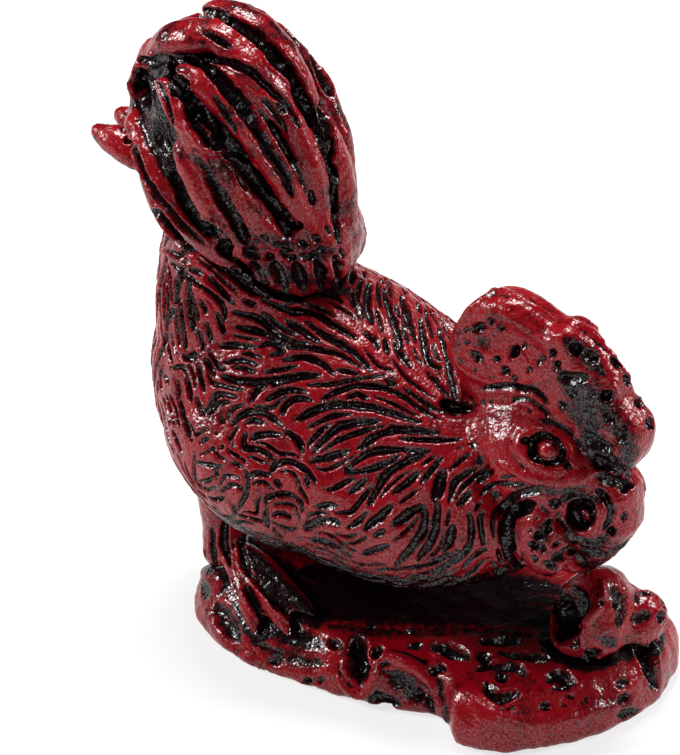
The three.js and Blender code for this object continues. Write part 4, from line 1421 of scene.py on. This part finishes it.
ROCK_FORM_AND_SHADE = (
    Stroke(((390, 674), (404, 686), (418, 702)), 1.9, 0.85, 0.95),
    Stroke(((372, 694), (398, 706)), 1.3, 0.30, 0.8),
    Stroke(
        ((377, 664), (386, 657), (400, 660), (418, 669), (432, 682), (440, 700), (448, 728)),
        0.75, -0.55, 0.0,
    ),
    Stroke(((338, 676), (348, 690), (364, 695), (375, 680), (379, 664)), 0.65, -0.42, 0.0),
    Stroke(((460, 690), (490, 712), (530, 722), (580, 716), (620, 704)), 1.2, -0.30, 0.0),
    Stroke(((500, 708), (540, 708), (590, 698)), 1.6, 0.25, 0.0),
    Stroke(((240, 655), (275, 674), (310, 688)), 1.0, -0.30, 0.0),
    Stroke(((205, 612), (222, 638), (240, 656)), 0.9, -0.25, 0.0),
    Stroke(((260, 646), (296, 660), (322, 664)), 1.3, 0.30, 0.75),
    Stroke(((258, 614), (284, 632), (318, 644)), 1.5, 0.10, 1.2),
    # The next two flat inked strokes paint shade on the plinth under the body by the legs, together with wash
    Stroke(((246, 556), (272, 570), (300, 584)), 2.6, 0.0, 1.3),
    Stroke(((262, 584), (290, 596), (322, 606)), 2.0, 0.0, 1.3),
    Stroke(((318, 676), (322, 684)), 0.9, 0.30, 0.3),
    # The next five wide, flat or shallow inked strokes paint the shade on the plinth under the belly,
    # together with wash
    Stroke(((300, 596), (360, 604), (430, 606), (500, 608), (560, 616)), 3.2, 0.05, 1.0),
    Stroke(((300, 574), (360, 576), (430, 580), (500, 584), (560, 590)), 3.6, 0.05, 1.0),
    Stroke(((300, 586), (360, 590), (430, 594), (500, 597), (560, 602)), 3.2, 0.0, 1.0),
    Stroke(((320, 612), (380, 616), (430, 616), (500, 617), (550, 624)), 2.6, 0.05, 1.0),
    Stroke(((330, 626), (380, 632), (430, 630), (480, 630), (530, 636)), 1.8, 0.10, 0.72),
    Stroke(((280, 640), (310, 646), (330, 645)), 1.6, 0.10, 0.6),
    Stroke(((620, 698), (630, 704)), 1.3, 0.10, 0.55),
    Stroke(((555, 682), (560, 684)), 1.6, 0.25, 0.45),
)

LEDGE_FORM = (
    Stroke(((204, 570), (214, 577), (228, 583)), 1.9, -0.75, 0.5),
)

STONE_FORM_AND_SHADE = (
    # The ink on the stone's left side, under the head, paints shade there as well as wash
    Stroke(((556, 588), (567, 602), (573, 620), (562, 640)), 1.8, 0.35, 1.1),
    Stroke(((574, 586), (582, 602), (574, 624)), 1.2, 0.15, 1.0),
    Stroke(((612, 588), (622, 606), (618, 626)), 1.2, 0.15, 0.9),
    Stroke(((600, 638), (616, 646)), 0.9, 0.20, 0.95),
    Stroke(((540, 600), (556, 606), (566, 622), (560, 636)), 1.5, 0.55, 0.95),
    Stroke(((580, 590), (586, 606), (576, 622)), 1.0, 0.25, 0.85),
    Stroke(((602, 580), (603, 596), (596, 612), (582, 626), (570, 634)), 0.55, -0.30, 0.0),
    Stroke(((618, 590), (626, 604)), 1.2, 0.20, 0.65),
    Stroke(((632, 620), (650, 616)), 0.9, 0.30, 0.8),
    Stroke(((546, 612), (552, 604), (558, 610)), 0.45, -0.30, 0.0),
)

FOOT_FORM = (
    Stroke(((246, 550), (258, 562), (276, 582), (296, 600), (314, 616)), 1.3, 0.10, 1.4),
    Stroke(((246, 586), (258, 612), (276, 644)), 0.65, 0.45, 1.0),
    Stroke(((252, 575), (280, 603), (304, 625), (320, 637)), 0.80, 0.50, 1.0),
    Stroke(((236, 605), (250, 630), (262, 652)), 0.45, 0.30, 0.9),
    Stroke(((240, 590), (256, 618), (270, 650)), 0.35, -0.30, 0.0),
    Stroke(((250, 582), (276, 610), (298, 634), (314, 648)), 0.35, -0.30, 0.0),
)

LEG_STROKES = (
    Stroke(((226, 520), (224, 545), (230, 566)), 0.34, 0.34),
    Stroke(((212, 528), (213, 552), (218, 570)), 0.28, 0.30),
    Stroke(((240, 540), (244, 562), (252, 578)), 0.30, 0.32),
    Stroke(((204, 548), (206, 566)), 0.24, 0.26),
    Stroke(((230, 578), (238, 600)), 0.24, 0.26),
    Stroke(((262, 590), (280, 612)), 0.22, 0.26),
)

ROOT_FORM = (
    Stroke(((250, 236), (290, 244), (335, 250)), 1.7, 0.0, 0.6),
    Stroke(((238, 264), (290, 276), (338, 282)), 1.8, 0.05, 0.72),
    Stroke(((262, 288), (300, 297), (336, 292)), 1.1, 0.0, 1.2),
    Stroke(((262, 262), (268, 274), (275, 290)), 0.42, -0.22, 0.0),
    Stroke(((284, 264), (289, 278), (296, 294)), 0.42, -0.22, 0.0),
    Stroke(((306, 264), (311, 278), (314, 294)), 0.42, -0.22, 0.0),
    Stroke(((326, 258), (330, 270), (332, 286)), 0.42, -0.22, 0.0),
)

ROOT_STROKES = (
    Stroke(((252, 262), (258, 273), (266, 286)), 0.42, 0.45),
    Stroke(((273, 262), (279, 274), (286, 292)), 0.46, 0.50),
    Stroke(((295, 262), (300, 276), (305, 294)), 0.46, 0.50),
    Stroke(((316, 260), (321, 274), (323, 292)), 0.44, 0.50),
    Stroke(((335, 256), (338, 268), (339, 282)), 0.40, 0.45),
    Stroke(((266, 256), (274, 258)), 0.36, 0.40),
    Stroke(((288, 258), (297, 259)), 0.36, 0.40),
    Stroke(((309, 256), (318, 255)), 0.36, 0.40),
)

TAIL_FORM = (
    Stroke(((94, 128), (104, 138), (120, 152), (134, 164)), 2.4, -0.50, 0.0),
    Stroke(((118, 110), (124, 116), (134, 126)), 2.0, -0.40, 0.0),
)

TAIL_STROKES = (
    Stroke(
        ((200, 9), (221, 17), (244, 30), (262, 45), (280, 66), (296, 91), (310, 118), (321, 145),
         (330, 175), (334, 210)),
        0.66, 0.80,
    ),
    Stroke(((298, 36), (312, 56), (325, 80), (333, 97)), 0.46, 0.55),
    Stroke(((320, 104), (326, 130), (330, 160)), 0.60, 0.50),
    Stroke(
        ((185, 55), (207, 66), (225, 86), (244, 109), (262, 134), (273, 155), (285, 175), (292, 195)),
        0.60, 0.75,
    ),
    Stroke(((203, 59), (225, 61), (248, 70), (271, 90), (289, 107), (299, 127)), 0.34, 0.40),
    Stroke(((171, 60), (180, 82), (189, 100), (198, 118), (208, 137), (221, 149)), 0.74, 0.85),
    Stroke(((200, 100), (212, 122), (222, 146)), 0.42, 0.50),
    Stroke(((225, 154), (244, 168), (260, 186), (275, 205), (285, 217)), 0.64, 0.75),
    Stroke(((287, 210), (292, 222), (302, 228)), 0.36, 0.40),
    Stroke(((198, 160), (212, 182), (228, 206), (240, 228), (248, 244)), 0.52, 0.60),
    Stroke(((172, 160), (184, 189), (201, 216), (221, 240), (232, 256)), 0.80, 0.80),
    Stroke(((160, 122), (166, 146), (174, 166)), 0.60, 0.55),
    Stroke(((123, 127), (134, 152), (146, 180), (162, 203), (182, 226), (203, 244)), 0.42, 0.55),
    Stroke(((136, 72), (146, 86), (150, 106)), 0.95, 0.90),
    Stroke(((138, 60), (150, 62), (166, 58)), 0.50, 0.55),
    Stroke(((158, 82), (167, 104), (174, 127)), 0.26, 0.34),
    Stroke(((205, 32), (221, 41), (231, 47)), 0.34, 0.40),
    Stroke(((146, 209), (162, 218), (180, 236), (203, 256), (221, 270), (244, 287)), 0.52, 0.60),
    Stroke(((156, 120), (158, 138), (168, 156)), 0.36, 0.40),
    Stroke(((300, 240), (306, 246)), 0.24, 0.26),
    Stroke(((318, 248), (326, 252)), 0.26, 0.28),
    Stroke(((280, 252), (290, 258)), 0.30, 0.30),
    Stroke(((340, 248), (344, 258)), 0.22, 0.26),
    Stroke(((326, 226), (330, 234)), 0.24, 0.26),
    Stroke(((298, 222), (302, 228)), 0.22, 0.24),
    Stroke(((246, 250), (258, 258)), 0.60, 0.50),
    Stroke(((310, 190), (314, 205)), 0.24, 0.24),
    Stroke(((262, 178), (272, 196)), 0.30, 0.30),
    Stroke(((236, 172), (246, 190)), 0.22, 0.24),
    Stroke(((262, 98), (276, 116), (286, 132)), 0.28, 0.30),
    Stroke(((278, 104), (286, 112)), 0.40, 0.36),
    Stroke(((214, 96), (226, 116), (236, 134)), 0.28, 0.32),
    Stroke(((274, 244), (292, 250)), 0.34, 0.30),
    Stroke(((300, 256), (318, 258)), 0.34, 0.30),
    Stroke(((312, 236), (320, 240)), 0.32, 0.28),
    Stroke(((334, 262), (342, 268)), 0.36, 0.34),
    Stroke(((284, 232), (290, 234)), 0.28, 0.26),
    Stroke(((262, 236), (268, 242)), 0.30, 0.28),
    Stroke(((334, 216), (340, 246)), 0.30, 0.30),
)


@dataclass
class Bird:
    """Everything of the rooster but its tail: one flowing skin that is cut into its pieces, and the eyes.

    The sizes round the eye are in pixels; those of the rump's strokes are in millimetres and degrees.
    """

    order: tuple[str, ...] = (
        "wattle_right",
        "wattle_left",
        "lower_beak",
        "upper_beak",
        "comb",
        "head",
        "wing_right",
        "wing_left",
        "saddle",
        "foot_right",
        "foot_left",
        "leg_right",
        "leg_left",
        "neck_cape",
        "trunk",
    )
    bare: tuple[str, ...] = (
        "head",
        "comb",
        "upper_beak",
        "lower_beak",
        "wattle_right",
        "wattle_left",
        "foot_right",
        "foot_left",
        "leg_right",
        "leg_left",
    )
    voxel: float = 0.125 * MM
    eye_voxel: float = 0.06 * MM
    infill: Infill = Infill()
    eye_pixel: Pixel = (547.0, 450.0)
    eye_turn: float = 22.0
    lid_size: Pixel = (28.0, 19.0)
    almond_size: Pixel = (17.0, 12.0)
    pupil_size: Pixel = (11.0, 8.5)
    ring_points: int = 16
    rump_lanes: int = 9
    rump_from: float = 150.0
    rump_to: float = 210.0
    rump_tops: tuple[float, float] = (29.0, 32.0)
    rump_lengths: tuple[float, float] = (5.0, 8.0)
    rump_feet: tuple[float, float] = (15.0, 18.0)
    rump_gap: float = 1.2
    rump_drift: float = 1.6
    rump_steps: int = 8
    rump_cuts: tuple[float, float] = (0.30, 0.42)
    rump_taper: float = 0.3
    rump_points: int = 4
    rump_seed: int = 7
    rump_start: float = 40.0

    def eyelids(self, casting: Casting) -> None:
        """Raises the lids and cuts the black almond round each eye.

        Args:
            casting: The bird's casting.
        """
        lid = ring_path(self.eye_pixel, *self.lid_size, self.eye_turn, self.ring_points)
        almond = ring_path(self.eye_pixel, *self.almond_size, self.eye_turn, self.ring_points)
        creases = (((521, 439), (529, 443)), ((571, 469), (563, 461)))
        casting.press([Stroke(lid, 0.8, -0.26, 0.0)], mirrored=True)
        casting.cut([Stroke(almond, 0.42, 0.36)], mirrored=True)
        casting.cut([Stroke(crease, 0.30, 0.24) for crease in creases], mirrored=True)

    def rump(self, casting: Casting) -> None:
        """Cuts the long upright strokes on the rear of the rump.

        Args:
            casting: The bird's casting.
        """
        rng = np.random.default_rng(self.rump_seed)
        low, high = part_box("trunk")
        axis = Vector(((low[0] + high[0]) / 2, 0.0, 0.0))
        for lane in range(self.rump_lanes):
            turn = self.rump_from + (self.rump_to - self.rump_from) * lane / (self.rump_lanes - 1)
            top = rng.uniform(*self.rump_tops)
            for foot in (top - rng.uniform(*self.rump_lengths), rng.uniform(*self.rump_feet)):
                path = []
                drift = rng.normal(0, self.rump_drift)
                for step in range(self.rump_steps + 1):
                    share = step / self.rump_steps
                    angle = math.radians(turn + drift * share)
                    out = Vector((math.cos(angle), math.sin(angle), 0.0))
                    height = (top + (foot - top) * share) * MM
                    start = axis + out * self.rump_start * MM + Vector((0.0, 0.0, height))
                    hit = casting.tree.ray_cast(start, -out)[0]
                    if hit is not None:
                        path.append(hit)
                if len(path) >= self.rump_points:
                    wide = rng.uniform(*self.rump_cuts)
                    casting.book.add(path, wide, rng.uniform(*self.rump_cuts), 1.0, self.rump_taper)
                top = foot - self.rump_gap

    def build(self, material: bpy.types.Material) -> None:
        """Builds the bird.

        Args:
            material: The finish.
        """
        casting = Casting(
            "bird",
            self.order,
            self.voxel,
            grow=0.22 * MM,
            soften=16,
            hammer=0.16 * MM,
            underside_wash_and_shade=1.1,
        )
        casting.fuse()
        casting.press(BACK_FORM + COMB_FORM + BEAK_FORM + FOOT_FORM, mirrored=True)
        self.eyelids(casting)
        plumage = BACK_STROKES + RUMP_STROKES + HACKLE_STROKES + BREAST_STROKES + FLANK_STROKES
        casting.cut(plumage, mirrored=True, gain=1.1)
        casting.cut(COMB_PITS + BEAK_PITS + WATTLE_PITS, mirrored=True, gain=1.2)
        casting.cut(LEG_STROKES, mirrored=True)
        self.rump(casting)
        casting.fill(self.bare, self.infill)
        casting.part_out(casting.carve(material), self.order, material)
        self.eyes(material)

    def eyes(self, material: bpy.types.Material) -> None:
        """Builds both eyes, each with a ring cut round its pupil.

        Args:
            material: The finish.
        """
        names = tuple("eye_" + side.value for side in Side)
        casting = Casting(
            "eyes",
            names,
            self.eye_voxel,
            grow=0.02 * MM,
            soften=6,
            hammer=0.0,
            seam_reach=0.3 * MM,
            underside_wash_and_shade=0.0,
            speckle=0.0,
        )
        casting.fuse()
        pupil = ring_path(self.eye_pixel, *self.pupil_size, self.eye_turn, self.ring_points)
        casting.cut([Stroke(pupil, 0.17, 0.12)], mirrored=True)
        casting.part_out(casting.carve(material), names, material)


@dataclass
class Tail:
    """The tail's bulb, the rim at its root and the feathers that lie over it."""

    right_feathers: int = 10
    left_feathers: int = 9
    voxel: float = 0.14 * MM

    def build(self, material: bpy.types.Material) -> None:
        """Builds the bulb, the rim and each feather.

        Args:
            material: The finish.
        """
        names = [f"tail_feather_right_{index + 1}" for index in range(self.right_feathers)]
        names += [f"tail_feather_left_{index + 1}" for index in range(self.left_feathers)]
        order = ("tail_feather_middle", *names, "tail_root", "tail_core")
        casting = Casting(
            "tail",
            order,
            self.voxel,
            soften=14,
            hammer=0.30 * MM,
            seam_reach=0.5 * MM,
            speckle=0.6,
            blackened=("tail_core",),
        )
        casting.fuse()
        casting.press(TAIL_FORM, mirrored=False)
        casting.press(ROOT_FORM, mirrored=True)
        casting.cut(TAIL_STROKES, mirrored=True, gain=1.05)
        casting.cut(ROOT_STROKES, mirrored=True)
        casting.part_out(casting.carve(material), order, material)


@dataclass
class Stand:
    """The rock plinth and the stone that the rooster pecks at."""

    plinth_voxel: float = 0.18 * MM
    stone_voxel: float = 0.13 * MM
    far_pits: Dabs = Dabs(240, wide=0.5, deep=0.5, long=1.1, along=(0.6, 0.3, 0.5), seed=33, unseen=True)
    stone_pits: Dabs = Dabs(26, wide=0.5, deep=0.4, long=0.9, along=(0.3, 1.0, 0.3), seed=21)

    def build(self, material: bpy.types.Material) -> None:
        """Builds the stand.

        Args:
            material: The finish.
        """
        self.plinth(material)
        self.stone(material)

    def plinth(self, material: bpy.types.Material) -> None:
        """Builds the plinth, whose underside stays level.

        Args:
            material: The finish.
        """
        casting = Casting(
            "plinth",
            ("plinth",),
            self.plinth_voxel,
            soften=24,
            hammer=0.55 * MM,
            rough=0.07 * MM,
            seam_reach=1.0 * MM,
            underside_wash_and_shade=0.0,
        )
        casting.fuse()
        casting.press(ROCK_FORM_AND_SHADE, mirrored=False)
        casting.press(LEDGE_FORM, mirrored=True)
        casting.cut(ROCK_PITS, mirrored=False, gain=1.25)
        casting.dab(self.far_pits)
        rock = casting.carve(material)
        for vertex in rock.data.vertices:
            vertex.co.z = max(vertex.co.z, 0.0)
        given(rock, casting.name)

    def stone(self, material: bpy.types.Material) -> None:
        """Builds the stone.

        Args:
            material: The finish.
        """
        casting = Casting(
            "pecking_stone",
            ("pecking_stone",),
            self.stone_voxel,
            soften=16,
            hammer=0.4 * MM,
            seam_reach=0.8 * MM,
        )
        casting.fuse()
        casting.press(STONE_FORM_AND_SHADE, mirrored=False)
        casting.dab(self.stone_pits)
        given(casting.carve(material), casting.name)


@dataclass(frozen=True)
class Lamp:
    """A square softbox: its place and side in metres, and its power in watts."""

    name: str
    place: tuple[float, float, float]
    side: float
    power: float

    def build(self, aim: Vector) -> None:
        """Makes the lamp.

        Args:
            aim: The point that it faces.
        """
        data = bpy.data.lights.new(self.name, "AREA")
        data.size = self.side
        data.energy = self.power
        lamp = bpy.data.objects.new(self.name, data)
        lamp.location = self.place
        lamp.rotation_euler = (Vector(self.place) - aim).to_track_quat("Z", "Y").to_euler()
        bpy.context.collection.objects.link(lamp)


@dataclass
class Studio:
    """A pale floor, a white surround and soft lamps."""

    floor_half: float = 3.0
    floor_grey: float = 0.9
    floor_glow: float = 0.72
    surround_strength: float = 0.05
    aim: tuple[float, float, float] = (0.0, 0.0, 20 * MM)
    lamps: tuple[Lamp, ...] = (
        Lamp("left_softbox", (-0.42, -0.24, 0.30), 0.16, 3.25),
        Lamp("right_softbox", (0.40, 0.34, 0.30), 0.17, 2.8),
        Lamp("overhead_softbox", (-0.10, 0.14, 0.50), 0.18, 3.5),
        Lamp("front_softbox", (0.36, -0.42, 0.24), 0.20, 0.45),
    )

    def floor(self) -> bpy.types.Object:
        """Makes the floor, which shows white and keeps the shadow.

        Returns:
            The floor object.
        """
        half = self.floor_half
        places = [(-half, -half, 0), (half, -half, 0), (half, half, 0), (-half, half, 0)]
        mesh = bpy.data.meshes.new("floor")
        mesh.from_pydata(places, [], [(0, 1, 2, 3)])
        material = bpy.data.materials.new("pale_floor")
        material.use_nodes = True
        tree = material.node_tree
        tree.nodes.clear()
        inputs = {"Color": (self.floor_grey, self.floor_grey, self.floor_grey, 1.0)}
        paint = added(tree, "ShaderNodeBsdfDiffuse", inputs).outputs[0]
        glow = added(tree, "ShaderNodeEmission", {"Color": (1.0, 1.0, 1.0, 1.0)}).outputs[0]
        inputs = {0: shown_rays(tree), 1: self.floor_glow}
        share = added(tree, "ShaderNodeMath", inputs, operation="MULTIPLY").outputs[0]
        mixed = added(tree, "ShaderNodeMixShader", {0: share, 1: paint, 2: glow}).outputs[0]
        added(tree, "ShaderNodeOutputMaterial", {"Surface": mixed})
        mesh.materials.append(material)
        return linked("floor", mesh)

    def build(self) -> None:
        """Builds the floor, the surround and the lamps, and sets the view transform."""
        self.floor()
        scene = bpy.context.scene
        scene.view_settings.view_transform = "Standard"
        world = bpy.data.worlds.new("surround")
        scene.world = world
        world.use_nodes = True
        tree = world.node_tree
        tree.nodes.clear()
        inputs = {"Color": (1.0, 1.0, 1.0, 1.0), "Strength": self.surround_strength}
        surround = added(tree, "ShaderNodeBackground", inputs).outputs[0]
        added(tree, "ShaderNodeOutputWorld", {"Surface": surround})
        for lamp in self.lamps:
            lamp.build(Vector(self.aim))


def shown_rays(tree: bpy.types.NodeTree) -> bpy.types.NodeSocket:
    """Adds the nodes that tell whether a ray shows the background: from the camera, gloss or glass.

    Args:
        tree: The tree of a material.

    Returns:
        A socket that is 1 for such a ray and 0 for the rest.
    """
    rays = added(tree, "ShaderNodeLightPath", {}).outputs
    total = rays["Is Camera Ray"]
    for name in ("Is Glossy Ray", "Is Transmission Ray"):
        total = added(tree, "ShaderNodeMath", {0: total, 1: rays[name]}, operation="MAXIMUM").outputs[0]
    return total


def main() -> None:
    """Builds the studio and every sub-assembly in order."""
    logging.basicConfig(level=logging.INFO, format="%(name)s: %(message)s")
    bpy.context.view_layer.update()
    SIGHT.camera()
    Studio().build()
    resin = ResinFinish("washed_red_resin").material()
    Bird().build(resin)
    Tail().build(resin)
    Stand().build(resin)


if __name__ == "__main__":
    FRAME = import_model()
    SIGHT = Sight((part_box("plinth")[0][0] + AIM_FROM_PLINTH, 0.0, AIM_HEIGHT))
    SOFTEN = soften_tree()
    PRESS = press_tree()
    CARVE = carve_tree(CutProfile())
    REWASH = rewash_tree()
    main()
